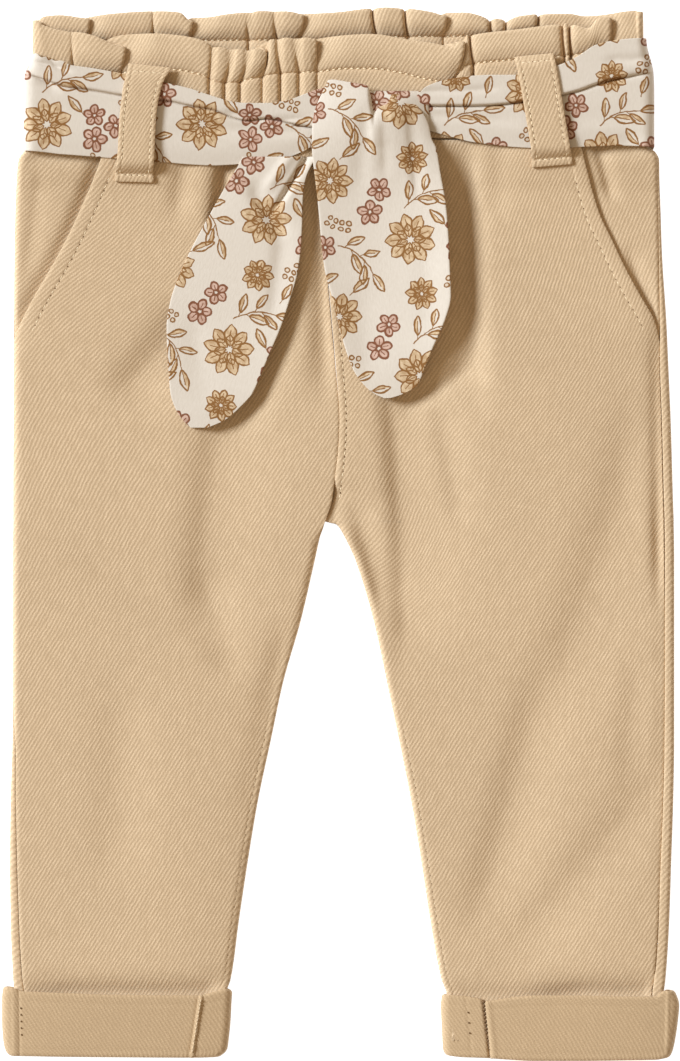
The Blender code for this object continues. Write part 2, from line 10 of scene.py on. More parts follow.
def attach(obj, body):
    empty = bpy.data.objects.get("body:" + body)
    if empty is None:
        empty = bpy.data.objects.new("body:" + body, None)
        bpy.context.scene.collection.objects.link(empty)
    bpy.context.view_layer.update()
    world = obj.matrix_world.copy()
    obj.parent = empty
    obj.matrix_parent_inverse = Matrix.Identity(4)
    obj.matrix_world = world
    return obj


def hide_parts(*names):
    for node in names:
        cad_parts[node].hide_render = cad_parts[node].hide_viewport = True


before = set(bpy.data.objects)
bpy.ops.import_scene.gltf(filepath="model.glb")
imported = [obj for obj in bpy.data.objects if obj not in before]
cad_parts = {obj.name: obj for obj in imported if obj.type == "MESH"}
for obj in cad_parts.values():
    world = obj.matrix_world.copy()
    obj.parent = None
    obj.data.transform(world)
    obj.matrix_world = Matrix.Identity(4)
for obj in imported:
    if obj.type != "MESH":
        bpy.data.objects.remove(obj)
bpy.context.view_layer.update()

# Back legs.
# Two panels of cotton twill lie under the fronts. At the side each comes up round the fold and shows as
# a narrow strip beside the side seam; at the inside leg and the centre it meets the front's edge.

MM = 0.001
TWILL = 1.1  # thickness of the twill
FOLD = 2.8  # from the middle of the back to that of the front, at the side
ROLL = {"right": 3.2, "left": 0.9}  # width over which each inside leg rolls down to its seam
HEM, CROTCH, WAIST = -206.0, 4.4, 157.0  # along Y
LEG_END = -202.5  # where the leg goes over into its turn-up
CLEAR = 0.3  # air between two layers of cloth


def chart(columns, *rows):
    """Rows of values under named columns."""
    Row = namedtuple("Row", columns)
    return [Row(*row) for row in rows]


# Outer edge and inner seam of each leg
OUTLINE = chart(
    "y right_side right_seam left_seam left_side",
    (HEM, -130.4, -47.6, 43.4, 129.2),
    (-183, -130.4, -45.6, 42.2, 129.2),
    (-178, -130.9, -43.8, 40.2, 129.9),
    (-155, -131.9, -40.6, 35.9, 131.4),
    (-131, -132.2, -37, 32.2, 132.2),
    (-107, -131.9, -33, 28.2, 133),
    (-83, -131.2, -27.9, 23.4, 133.4),
    (-59, -131, -22.8, 18.4, 133.4),
    (-35, -131, -15.9, 13.2, 133.4),
    (-11, -131, -10.3, 6, 133.4),
    (-1, -131, -8, 1.4, 133.3),
    (3.6, -130.9, -6.1, -1.4, 133.2),
    (CROTCH, -130.9, -5.9, -2.6, 133.2),
    (5.2, -130.9, -5.5, -6.2, 133.2),
    (8, -130.9, -4.7, -5.3, 133.1),
    (14, -130.9, -3.2, -3.2, 132.9),
    (45, -130.8, -0.4, -0.4, 132),
    (66, -130.7, -1.8, -1.8, 131.1),
    (84, -130.6, -3.4, -3.4, 130.3),
    (112, -130.4, -5.8, -5.8, 128.5),
    (130, -130, -7.3, -7.3, 127.9),
    (142, -129.4, -8.3, -8.3, 127.4),
    (149, -128.6, -8.9, -8.9, 127.2),
    (151.8, -126.9, -9.1, -9.1, 125.9),
    (153.6, -124.4, -9.3, -9.3, 123.6),
    (WAIST, -122.7, -9.6, -9.6, 121.4),
)
# Height of the back legs' underside and of the top of the fronts
LEVELS = chart(
    "y under crest",
    (HEM, 1.4, 5.9), (-186, 1.4, 5.4), (-176, 0.1, 5.4), (-150, 0, 5.2), (-60, 0, 5), (0, 0, 5.2),
    (100, 0, 5.4), (125, 0, 5.6), (136, 0.3, 5.9), (142, 1.4, 6.9), (151.6, 2.9, 8.2), (WAIST, 2.9, 8.4),
)
# How far in from the outer edge the side seam shows; at 0 it runs down the very side
SIDE_SEAM = chart(
    "y right left",
    (HEM, 3.6, 4), (-160, 3, 3.8), (-130, 2.4, 3.5), (-100, 1.4, 3.3), (-79, 0.7, 3.2), (-62, 0, 3.1),
    (0, 0, 3), (60, 0, 2.8), (84, 0, 1.9), (98, 0, 1.3), (117, 0, 0.7), (WAIST, 0, 0.4),
)
INWARDS = {"right": 1.0, "left": -1.0}  # the way in along X from the wearer's right and left side


def along(table, column, at):
    """A table's column at those values of its first column, on a smooth curve through its rows."""
    keys = np.array([row[0] for row in table], float)
    values = np.array([getattr(row, column) for row in table], float)
    rise = np.diff(values) / np.diff(keys)
    slopes = np.concatenate([rise[:1], np.zeros(len(keys) - 2), rise[-1:]])
    product, total = rise[:-1] * rise[1:], rise[:-1] + rise[1:]
    same = product > 0
    slopes[1:-1][same] = 2.0 * product[same] / total[same]
    at = np.clip(at, keys[0], keys[-1])
    i = np.clip(np.searchsorted(keys, at) - 1, 0, len(keys) - 2)
    span = keys[i + 1] - keys[i]
    t = (at - keys[i]) / span
    bend = t * (1 - t) * ((1 - t) * (slopes[i] - rise[i]) - t * (slopes[i + 1] - rise[i])) * span
    return values[i] + t * (values[i + 1] - values[i]) + bend


def ease(value, start, end):
    """Smooth step from 0 at start to 1 at end."""
    share = np.clip((value - start) / (end - start), 0.0, 1.0)
    return share * share * (3.0 - 2.0 * share)


def bell(distance, width):
    return np.exp(-((distance / width) ** 2))


def measured(points):
    """Distances over the cloth, across its columns and along its rows, averaged over the piece."""
    across = np.linalg.norm(np.diff(points, axis=1), axis=2).mean(axis=0)
    down = np.linalg.norm(np.diff(points, axis=0), axis=2).mean(axis=1)
    return np.concatenate([[0.0], across.cumsum()]), np.concatenate([[0.0], down.cumsum()])


def piece_of(name, shape, finish):
    """Turns a bmesh into a piece of the looks."""
    mesh = bpy.data.meshes.new(name)
    shape.to_mesh(mesh)
    shape.free()
    mesh.shade_smooth()
    mesh.materials.append(finish)
    piece = bpy.data.objects.new(name, mesh)
    bpy.context.scene.collection.objects.link(piece)
    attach(piece, "root")
    return piece


def lay(
    name, columns, rows, place, finish, nodes,
    wall=TWILL, cut=None, spin=1.0, closed=False, smoother=0
):
    """Cloth on a grid: place gives its middle surface in millimetres, and cut its place in the flat cut."""
    cloth = bmesh.new()
    across, down = len(columns) - 1, len(rows) - 1
    bmesh.ops.create_grid(cloth, x_segments=across, y_segments=down, size=0.5)
    start = np.array([point.co for point in cloth.verts])
    column = np.rint((start[:, 0] + 0.5) * across).astype(int)
    row = np.rint((start[:, 1] + 0.5) * down).astype(int)
    c, r = np.meshgrid(columns, rows)
    points = np.stack(np.broadcast_arrays(*place(c, r)), axis=2)
    if cut:
        u, v = np.broadcast_arrays(*cut(points))
    else:
        u, v = np.meshgrid(*measured(points))
        u = u * spin
    pattern = cloth.loops.layers.uv.new("cut")
    for point, i, j in zip(cloth.verts, row, column):
        point.co = points[i, j] * MM
        for corner in point.link_loops:
            corner[pattern].uv = (u[i, j] * MM, v[i, j] * MM)
    if closed:
        bmesh.ops.remove_doubles(cloth, verts=cloth.verts, dist=0.01 * MM)
    bmesh.ops.recalc_face_normals(cloth, faces=cloth.faces)
    piece = piece_of(name, cloth, finish)
    solid = piece.modifiers.new("Wall", "SOLIDIFY")
    solid.thickness = wall * MM
    solid.offset = 0.0
    solid.use_even_offset = not smoother
    if smoother:
        soft = piece.modifiers.new("Soft", "SUBSURF")
        soft.levels = soft.render_levels = smoother
    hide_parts(*nodes)
    return piece


class Shade:
    """A socket of a material's nodes. Sums written on it add Math nodes."""

    def __init__(self, tree, socket):
        self.tree = tree
        self.socket = socket

    def node(self, kind, settings, sockets, output=0):
        """Adds a node, sets it up, fills or links its sockets and returns its output."""
        made = self.tree.nodes.new("ShaderNode" + kind)
        for name, value in settings.items():
            setattr(made, name, value)
        for name, value in sockets.items():
            if isinstance(value, Shade):
                self.tree.links.new(value.socket, made.inputs[name])
            else:
                made.inputs[name].default_value = value
        return Shade(self.tree, made.outputs[output])

    def maths(self, operation, *values):
        return self.node("Math", {"operation": operation}, dict(enumerate(values)))

    def __add__(self, other):
        return self.maths("ADD", self, other)

    def __radd__(self, other):
        return self.maths("ADD", other, self)

    def __sub__(self, other):
        return self.maths("SUBTRACT", self, other)

    def __rsub__(self, other):
        return self.maths("SUBTRACT", other, self)

    def __mul__(self, other):
        return self.maths("MULTIPLY", self, other)

    def __rmul__(self, other):
        return self.maths("MULTIPLY", other, self)

    def __truediv__(self, other):
        return self.maths("DIVIDE", self, other)

    def __abs__(self):
        return self.maths("ABSOLUTE", self)

    def cos(self):
        return self.maths("COSINE", self)

    def floor(self):
        return self.maths("FLOOR", self)

    def largest(self, other):
        return self.maths("MAXIMUM", self, other)

    def step(self, start, end):
        """0 below start and 1 above end, and smooth between them."""
        sockets = {"Value": self, "From Min": start, "From Max": end}
        return self.node("MapRange", {"interpolation_type": "SMOOTHSTEP"}, sockets)

    def noise(self, scale, detail=2.0, stretch=(1.0, 1.0, 1.0)):
        spread = self.node("VectorMath", {"operation": "MULTIPLY"}, {0: self, 1: stretch})
        sockets = {"Vector": spread, "Scale": scale, "Detail": detail, "Roughness": 0.55}
        return self.node("TexNoise", {}, sockets)

    def x_and_y(self):
        return [self.node("SeparateXYZ", {}, {"Vector": self}, output=i) for i in range(2)]

    def blend(self, first, second, share):
        """Colour mix, from the first to the second."""
        return self.node("Mix", {"data_type": "RGBA"}, {0: share, 6: first, 7: second}, output=2)


def new_finish(name, roughness, sheen):
    """A material with a principled shader, and its UV coordinates in metres of the flat cut."""
    made = bpy.data.materials.new(name)
    made.use_nodes = True
    tree = made.node_tree
    shader = tree.nodes["Principled BSDF"]
    shader.inputs["Roughness"].default_value = roughness
    shader.inputs["Specular IOR Level"].default_value = 0.25
    shader.inputs["Sheen Weight"].default_value = sheen
    shader.inputs["Sheen Roughness"].default_value = 0.5
    place = tree.nodes.new("ShaderNodeUVMap")
    place.uv_map = "cut"
    return made, shader, Shade(tree, place.outputs[0])


def twill(name, shadow, light, lean, rib=1.36, depth=0.12, contrast=1.0):
    """Cotton twill: ribs a rib apart that lean to that angle, each a row of warp floats, with slubs. Its
    colour runs from the shadow colour in the grooves and at the floats' ends to the light one on the ribs:
    painted shade and painted light, beside the bump.
    """
    made, shader, cut = new_finish(name, roughness=0.86, sheen=0.12)
    u, v = cut.x_and_y()
    angle = math.radians(lean)
    wander = (cut.noise(90.0, detail=2.0) - 0.5) * 0.7 + (cut.noise(520.0, detail=2.0) - 0.5) * 0.55
    across = (u * math.sin(angle) - v * math.cos(angle)) / (rib * MM) + wander
    down = (u * math.cos(angle) + v * math.sin(angle)) / (0.95 * MM)
    ridge = (across * (2.0 * math.pi)).cos() * 0.5 + 0.5
    float_end = ((down + across.floor() * 0.37) * (2.0 * math.pi)).cos() * 0.5 + 0.5
    slub = cut.noise(640.0, detail=3.0, stretch=(1.0, 0.2, 1.0))
    fleck = cut.noise(1700.0, detail=2.0)
    cloud = cut.noise(16.0, detail=3.0)
    faded = cut.noise(210.0, detail=2.0).step(0.25, 0.75) * 0.5 + 0.62
    lit = (ridge * faded * (0.58 + 0.42 * float_end) + slub * 0.5 - 0.1) * contrast
    lit = lit + 0.55 * (1.0 - contrast)
    # Painted shade and light: grooves and float ends darker, ribs lighter, as light falls on the weave
    dye_and_painted_shade = cut.blend((*shadow, 1.0), (*light, 1.0), lit.step(-0.25, 1.25))
    tint = (fleck - 0.5) * 0.5 + (cloud - 0.5) * 0.14 + 1.0
    value = cut.node("CombineColor", {}, {0: tint, 1: tint, 2: tint})
    mix = {"data_type": "RGBA", "blend_type": "MULTIPLY"}
    toned = cut.node("Mix", mix, {0: 1.0, 6: dye_and_painted_shade, 7: value}, output=2)
    height = ridge * faded * (0.5 + 0.4 * float_end) + slub * 0.45
    sockets = {"Height": height, "Distance": depth * MM, "Strength": 1.0}
    bump = cut.node("Bump", {}, sockets)
    cut.tree.links.new(toned.socket, shader.inputs["Base Color"])
    cut.tree.links.new(bump.socket, shader.inputs["Normal"])
    return made


TWILL_FACE = twill("twill face", (0.50, 0.35, 0.205), (0.77, 0.575, 0.375), lean=58.0, contrast=0.85)


def side_of(which, y):
    return along(OUTLINE, which + "_side", y) + INWARDS[which] * TWILL / 2


def seam_of(which, y):
    """Middle of the cloth at the leg's inner edge: the inside leg, or the centre seam above the crotch."""
    room = 0.15 + 0.4 * ease(y, CROTCH + 9.0, CROTCH - 3.0)
    return along(OUTLINE, which + "_seam", y) - INWARDS[which] * room


def rolled(y):
    """How far the inner edges of front and back roll together: whole from a little below the crotch."""
    return ease(y, CROTCH, CROTCH - 12.0)


def stepped(count):
    """Rows down a leg, closer together at its crotch and under the belt, where its edges turn sharply."""
    level = np.linspace(LEG_END, WAIST, count)
    close = np.concatenate([[2.6, 3.2, 3.8, 4.3, 4.8, 5.2, 5.6, 6.4, 7.6], np.arange(143.0, 155.0, 0.6)])
    apart = np.abs(level[:, None] - close[None, :]).min(axis=1)
    return np.sort(np.concatenate([level[apart > 0.45], close]))


def make_back_leg(which):
    inwards = INWARDS[which]
    radius = FOLD / 2
    turn = np.linspace(1.0, 0.0, 16)
    level = np.linspace(0.0, 1.0, 40)[1:] ** 0.9
    inner = np.radians(np.linspace(90.0, 0.0, 7))[1:]
    stations = [("turn", s) for s in turn] + [("level", s) for s in level] + [("inner", s) for s in inner]

    def place(c, y):
        side, seam = side_of(which, y), seam_of(which, y)
        low = along(LEVELS, "under", y) + TWILL / 2
        shown = along(SIDE_SEAM, which, y)
        last_turn = np.pi / 2 + np.arccos(1.0 - np.minimum(shown / radius, 1.0))
        whole = last_turn * radius + np.maximum(shown - radius, 0.0)
        knee = seam - inwards * ROLL[which]
        x, z = np.zeros_like(y), np.zeros_like(y)
        for i, (kind, s) in enumerate(stations):
            at = c == i
            if kind == "turn":
                angle = np.minimum(whole * s / radius, last_turn)
                flat = np.maximum(whole * s - last_turn * radius, 0.0)
                x[at] = (side + inwards * (radius - radius * np.sin(angle) + flat))[at]
                z[at] = (low + radius - radius * np.cos(angle) - 0.28 * bell(whole * (1.0 - s), 0.4))[at]
            elif kind == "level":
                x[at] = (side + inwards * radius + s * (knee - side - inwards * radius))[at]
                z[at] = low[at]
            else:
                x[at] = (seam - inwards * ROLL[which] * (1.0 - math.cos(s)))[at]
                z[at] = (low + (FOLD - CLEAR) / 2 * rolled(y) * (1.0 - math.sin(s)))[at]
        return x, y, z

    piece = lay(
        "back_panel_" + which, np.arange(len(stations), dtype=float), stepped(92), place, TWILL_FACE,
        ["back_leg_" + which], spin=-inwards
    )


for which in ("right", "left"):
    make_back_leg(which)

# Front legs.
# Two panels of the same twill, with the slanted pocket mouths cut away at the hips. They lie on the backs
# and are sewn to them at the sides and inside legs, and to each other down the centre.

MOUTH_LOW = 84.0  # lower end of the pocket mouths
# Slanted edge of each pocket mouth
MOUTH = chart(
    "y right left",
    (76, -130.6, 127.6), (MOUTH_LOW, -127.4, 125.6), (95, -121.8, 119.6), (106, -115.4, 113.6),
    (117, -109.4, 108.4), (128, -104.2, 103.2), (146, -96.6, 98), (WAIST, -93, 95.2),
)
MOUTH_STITCH = 5.4  # from the mouth's edge to its topstitching
CENTRE_STITCH = 2.6
INSEAM_STITCH = 2.2
FAR = 99.0  # distance from an edge at which its stitching is out of reach

FOLD_COLUMNS = "side x0 y0 x1 y1 bend width lee depth"
# Soft folds of the fronts, each from its upper end down: its left wall is width wide and its right wall
# lee, and bend moves its middle to the right
FOLDS = chart(
    FOLD_COLUMNS,
    ("right", -56, 95.4, -92.6, 50, 2, 8, 14, 2.4),
    ("right", -42.8, 69.4, -55, -48.6, -2, 9, 22, 2.4),
    ("right", -54, -10.6, -40.6, -62.6, -1, 7, 8, 1.1),
    ("right", -116.2, -4.6, -38.2, -48.6, 0, 3, 5, 0.7),
    ("right", -16, -30.6, -32.8, -130.6, 0, 7, 6.5, 4),
    ("right", -43, 168, -50.4, 113.4, 0, 3.6, 4.5, 4.2),
    ("right", -61, 165.4, -65.8, 121.4, 0, 4, 5, 1.2),
    ("right", -9.8, 165.4, -5.8, 45.4, 0, 5, 5, 2.6),
    ("right", -16.2, 113.4, -47.4, 33.4, 4, 6, 7, 2.4),
    ("right", -88.2, -50.6, -91.4, -146.6, 2, 10, 12, 0.9),
    ("right", -140, -183.4, -6, -183.9, 0, 4.6, 5.2, 2.9),
    ("left", 17.8, 84.4, 26.4, -60, 2, 5, 20, 2.9),
    ("left", 38.2, 61.4, 48.6, -2.6, 0, 4, 8, 1),
    ("left", 130, 73.4, 79, -84, 3, 12, 22, 2.1),
    ("left", 84, -46, 51, -172, 1, 9, 15, 1.9),
    ("left", 141, -80, 56, -182.6, 2, 10, 14, 1.4),
    ("left", 119.8, -42.6, 114.2, -106.6, 0, 6, 8, 0.8),
    ("left", 51.8, 173.4, 55, 41.4, -3, 10, 5.5, 3.6),
    ("left", 54.2, 69.4, 21.8, 48.6, 0, 4, 5, 2.2),
    ("left", 1, 22, 19, -36.6, 1.6, 4.4, 9, 2.4),
    ("left", -3.2, 23, -3.6, -2, 0, 3, 6, 2.4),
    ("left", 63.8, 165.4, 60.6, 121.4, 0, 5, 6, 1),
    ("left", 127.2, 101.4, 128.4, -38.6, 0, 3.4, 2.6, 5.2),
    ("left", 129.6, -14.6, 130.8, -170.6, 0, 4, 3, 1.3),
    ("left", 20, -184.8, 108, -184.2, 0, 4.6, 4.6, 1.3),
    ("left", 72, -184.2, 164, -183.4, 0, 4.6, 5.4, 2.7),
)
# Where the folds and the elastic turn the grain, in degrees
PULLS = chart(
    "x y reach turn",
    (-106, 106, 66, 20),
    (92, 112, 62, -14),
    (15, -18, 22, 26),
    (24, 100, 30, -6),
)
FADE = 0.28  # share of a fold's length over which each of its ends runs out
TILT = {"right": 0.0, "left": 0.6}  # how much higher each front lies at its inside than at its side
Shoulders = namedtuple("Shoulders", "outer inner")
# How flat each front is up to its edges: the power by which it falls away to them
SHOULDERS = {"right": Shoulders(150.0, 3.0), "left": Shoulders(3.0, 150.0)}


def folded(folds, which, x, y):
    """How far the folds take the surface down."""
    drop = np.zeros(np.broadcast(x, y).shape)
    for fold in folds:
        if fold.side != which:
            continue
        length = math.hypot(fold.x1 - fold.x0, fold.y1 - fold.y0)
        ahead_x, ahead_y = (fold.x1 - fold.x0) / length, (fold.y1 - fold.y0) / length
        share = ((x - fold.x0) * ahead_x + (y - fold.y0) * ahead_y) / length
        to_left = (y - fold.y0) * ahead_x - (x - fold.x0) * ahead_y
        away = to_left - fold.bend * 4.0 * share * (1.0 - share)
        fade = ease(share, 0.0, FADE) * ease(share, 1.0, 1.0 - FADE)
        drop += fold.depth * fade * bell(away, np.where(away < 0.0, fold.width, fold.lee))
    return drop


def rounded(distance, reach):
    """Rise of a quarter round, from 0 at the edge to 1 where the cloth lies level."""
    share = 1.0 - np.clip(distance / reach, 0.0, 1.0)
    return np.sqrt(1.0 - share * share)


def front_height(which, x, y, under=0.0, folds=FOLDS):
    """Middle surface of the front, or of a layer that lies that far under it."""
    side, seam = side_of(which, y), seam_of(which, y)
    across = np.clip((x - side) / (seam - side), 0.0, 1.0)
    leg_share = ease(y, 40.0, -30.0)
    outer, inner = SHOULDERS[which]
    hump = (1.0 - np.abs(2.0 * across - 1.0) ** np.where(across < 0.5, outer, inner)) * leg_share
    hump = hump + (1.0 - (1.0 - across) ** outer) * (1.0 - leg_share)
    back = along(LEVELS, "under", y) + TWILL / 2
    lifted = (TWILL + CLEAR) * ease(y, 66.0, MOUTH_LOW)
    edge = back + FOLD + lifted
    tilt = TILT[which] * (2.0 * across - 1.0) * leg_share
    top = edge + (along(LEVELS, "crest", y) - edge + tilt) * hump
    top = top - folded(folds, which, x, y) * np.minimum(1.0, 2.2 * hump + 0.06) - under
    top = top - lifted * (1.0 - rounded(np.abs(side - x), 14.0)) * (1.0 if under == 0.0 else 0.0)
    middle = back + FOLD / 2
    at_side = rounded(np.abs(side - x), FOLD / 2)
    at_seam = 1.0 - rolled(y) * (1.0 - rounded(np.abs(seam - x), ROLL[which]))
    return middle + (top - middle) * np.minimum(at_side, at_seam)


def side_seam(which, y):
    shown = along(SIDE_SEAM, which, y)
    return side_of(which, y) + INWARDS[which] * (shown + CLEAR * ease(shown, 0.0, 1.0))


def front_edge(which, y):
    """Outer edge of the front: the side seam, or the pocket mouth above the mouth's lower end."""
    inwards = INWARDS[which]
    seam, mouth = side_seam(which, y), along(MOUTH, which, y)
    return np.where(y < MOUTH[0].y, seam, seam + inwards * np.maximum(inwards * (mouth - seam), 0.0))


def grain(points):
    """Place in the cut: the grain runs up and down, but for where it is pulled round."""
    u, v = points[..., 0].copy(), points[..., 1].copy()
    for pull in PULLS:
        away = np.hypot(points[..., 0] - pull.x, points[..., 1] - pull.y)
        turn = np.radians(pull.turn) * bell(away, pull.reach)
        du, dv = u - pull.x, v - pull.y
        u = pull.x + du * np.cos(turn) - dv * np.sin(turn)
        v = pull.y + du * np.sin(turn) + dv * np.cos(turn)
    return u, v


# Columns beside a front's outer and inner edge, by how far in they run
NEAR_OUTER = [0.0, 0.35, 0.8, 1.4, 2.2, 3.2, 4.2, 4.8, 5.1, 5.4, 5.7, 6.0, 6.6, 7.6, 9.0]
NEAR_INNER = [0.0, 0.3, 0.7, 1.2, 1.7, 2.0, 2.3, 2.6, 2.9, 3.3, 4.0, 5.0, 6.4, 8.2]


def groove(distance):
    """A line of topstitching draws the cloth in by this much."""
    return 0.16 * bell(distance, 0.6)


def make_front_leg(which):
    inwards = INWARDS[which]
    count = len(NEAR_OUTER) + len(NEAR_INNER)
    level = np.linspace(0.0, 1.0, 56)[1:-1]

    def place(c, y):
        outer, inner = front_edge(which, y), seam_of(which, y)
        slope = np.gradient(front_edge(which, y[:, 0]), y[:, 0])[:, None]
        slant = 1.0 + (np.sqrt(1.0 + slope * slope) - 1.0) * ease(y, MOUTH[0].y, MOUTH_LOW + 4.0)
        x = np.zeros_like(y)
        from_edge, from_seam = np.full_like(y, FAR), np.full_like(y, FAR)
        for i, distance in enumerate(NEAR_OUTER):
            at = c == i
            x[at] = (outer + inwards * distance * slant)[at]
            from_edge[at] = distance
        start = outer + inwards * NEAR_OUTER[-1] * slant
        end = inner - inwards * NEAR_INNER[-1]
        for i, share in enumerate(level):
            at = c == len(NEAR_OUTER) + i
            x[at] = (start + share * (end - start))[at]
        for i, distance in enumerate(NEAR_INNER[::-1]):
            at = c == len(NEAR_OUTER) + len(level) + i
            x[at] = (inner - inwards * distance)[at]
            from_seam[at] = distance
        z = front_height(which, x, y)
        at_mouth = ease(y, MOUTH[0].y, MOUTH_LOW + 6.0)
        z = z + at_mouth * (0.15 * ease(from_edge, 6.5, 4.5) - groove(from_edge - MOUTH_STITCH))
        z = z - 0.3 * bell(from_edge, 0.6)
        above = ease(y, CROTCH - 4.0, CROTCH + 8.0)
        if which == "left":
            z = z + above * (0.12 * ease(from_seam, 3.6, 1.6) - groove(from_seam - CENTRE_STITCH))
        z = z - above * 0.3 * bell(from_seam, 0.5)
        below = ease(y, -60.0, -84.0)
        return x, y, z - below * groove(from_seam - INSEAM_STITCH)

    return lay(
        "front_panel_" + which, np.arange(count + len(level), dtype=float),
        np.union1d(stepped(182), np.arange(-187.0, -178.0, 0.5)), place, TWILL_FACE,
        ["front_leg_" + which], cut=grain
    )


def plain(name, colour, roughness):
    """A material of one colour."""
    made = bpy.data.materials.new(name)
    made.use_nodes = True
    shader = made.node_tree.nodes["Principled BSDF"]
    shader.inputs["Base Color"].default_value = (*colour, 1.0)
    shader.inputs["Roughness"].default_value = roughness
    return made


THREAD = plain("thread", (0.93, 0.77, 0.53), roughness=0.6)
# Dark brown of painted shade for the dots where the needle went through; the left turn-up's dark beads
# share it
HOLE_SHADE = plain("needle hole shade", (0.20, 0.115, 0.055), roughness=0.95)


def sew(name, lines, finish, slot, length, thick):
    """Short threads along each line of points, which all lie on the cloth; the round ones, in dark brown,
    are painted shade where the needle went through.
    """
    thread = bmesh.new()
    for line in lines:
        for here, after in zip(line, line[1:]):
            here, after = Vector(here) * MM, Vector(after) * MM
            size = Matrix.Diagonal((thick * MM, thick * MM, length * MM, 1.0))
            turn = (after - here).to_track_quat("Z", "Y").to_matrix().to_4x4()
            made = Matrix.Translation((here + after) / 2) @ turn @ size
            bmesh.ops.create_icosphere(thread, subdivisions=1, radius=0.5, matrix=made)
    return piece_of(name, thread, finish)


def paced(x, y, pitch):
    """Points in equal steps of about the pitch along a line given by its corners."""
    steps = np.hypot(np.diff(x), np.diff(y))
    distance = np.concatenate([[0.0], steps.cumsum()])
    at = np.linspace(0.0, distance[-1], max(2, int(round(distance[-1] / pitch)) + 1))
    return np.interp(at, distance, x), np.interp(at, distance, y)


def on_front(which, x, y, pitch, sunk=0.12):
    x, y = paced(x, y, pitch)
    z = front_height(which, x, y) + TWILL / 2 - sunk
    return list(zip(x, y, z))


def halfway(line):
    """The same row of stitches moved on by half a step, where the needle went through the cloth and shade
    is painted.
    """
    points = np.array(line)
    return [tuple(point) for point in (points[:-1] + points[1:]) / 2]


def topstitch(part, which, lines, thread, hole):
    """Stitches, and between them dark dots of painted shade where the needle went through; thread and hole
    are each a length and a thickness.
    """
    stitches = sew(part + "_stitches_" + which, lines, THREAD, "twill", *thread)
    # Painted shade: dark dots halfway between the stitches, where the needle went through
    holes = sew(part + "_holes_" + which, [halfway(line) for line in lines], HOLE_SHADE, "twill", *hole)
    return [stitches, holes]


def front_stitches(which):
    """The rows beside the pocket mouth and down the inside leg, and on the left front down the centre."""
    inwards = INWARDS[which]
    y = np.linspace(80.0, 143.0, 60)
    slope = np.gradient(front_edge(which, y), y)
    x = front_edge(which, y) + inwards * MOUTH_STITCH * np.sqrt(1.0 + slope * slope)
    lines = [on_front(which, x, y, pitch=3.4)]
    y = np.linspace(-76.0, -178.0, 60)
    x = seam_of(which, y) - inwards * INSEAM_STITCH
    lines.append(on_front(which, x, y, pitch=3.2, sunk=0.3))
    if which == "left":
        y = np.linspace(CROTCH + 9.0, 146.0, 88)
        lines.append(on_front(which, seam_of(which, y) + CENTRE_STITCH, y, pitch=2.9))
    return lines


for which in ("right", "left"):
    panel = make_front_leg(which)
    added = topstitch("front", which, front_stitches(which), thread=(2.0, 0.42), hole=(0.85, 0.55))
    rests_on = ["back_panel_" + which]

# Pocket facings.
# A panel of the same twill fills each pocket's mouth. It is sewn into the side seam and the waist, and goes
# on under the front, where the pocket bag hangs from it out of sight.

FACING_FOLDS = chart(
    FOLD_COLUMNS,
    ("right", -134, 151.6, -92, 149.4, 0, 3, 3, 1.1),
    ("right", -119, 150, -126, 100, 0, 3, 4, 0.5),
    ("left", 98.4, 166, 109, 130, 0.4, 1.8, 4, 1.5),
    ("left", 114, 118, 127, 80, -1, 2.2, 4, 1),
    ("left", 96, 152.4, 122, 152.4, 0, 2.4, 2.4, 0.7),
)
UNDER_MOUTH = 11.0  # how far each facing goes on under the front
MOUTH_SINK = {"right": 2.4, "left": 0.2}  # how far each facing drops in under its mouth's edge


def make_facing(which):
    inwards = INWARDS[which]

    def place(c, y):
        start, mouth = side_seam(which, y), along(MOUTH, which, y)
        end = mouth + inwards * UNDER_MOUTH * ease(y, 73.0, 96.0)
        x = start + c * (end - start)
        z = front_height(which, x, y, under=TWILL + CLEAR)
        z = z - folded(FACING_FOLDS, which, x, y) * ease(c, 0.0, 0.2)
        sink = MOUTH_SINK[which] * (0.5 + 0.5 * ease(y, 96.0, 150.0)) * bell(x - mouth, 4.0)
        return x, y, z - sink - 0.45 * bell(c * (end - start), 0.6)

    columns = np.concatenate([np.linspace(0.0, 0.1, 7), np.linspace(0.1, 1.0, 30)[1:]])
    rows = np.linspace(77.0, WAIST, 60)
    piece = lay(
        "facing_" + which, columns, rows, place, TWILL_FACE, ["pocket_facing_" + which],
        cut=grain
    )
    rests_on = ["back_panel_" + which, "front_panel_" + which]


for which in ("right", "left"):
    make_facing(which)

# Turn-ups.
# The end of each leg is folded outwards once, so its reverse shows, with the two seams as ridges. Its raw
# edge is turned in and stitched at the top.

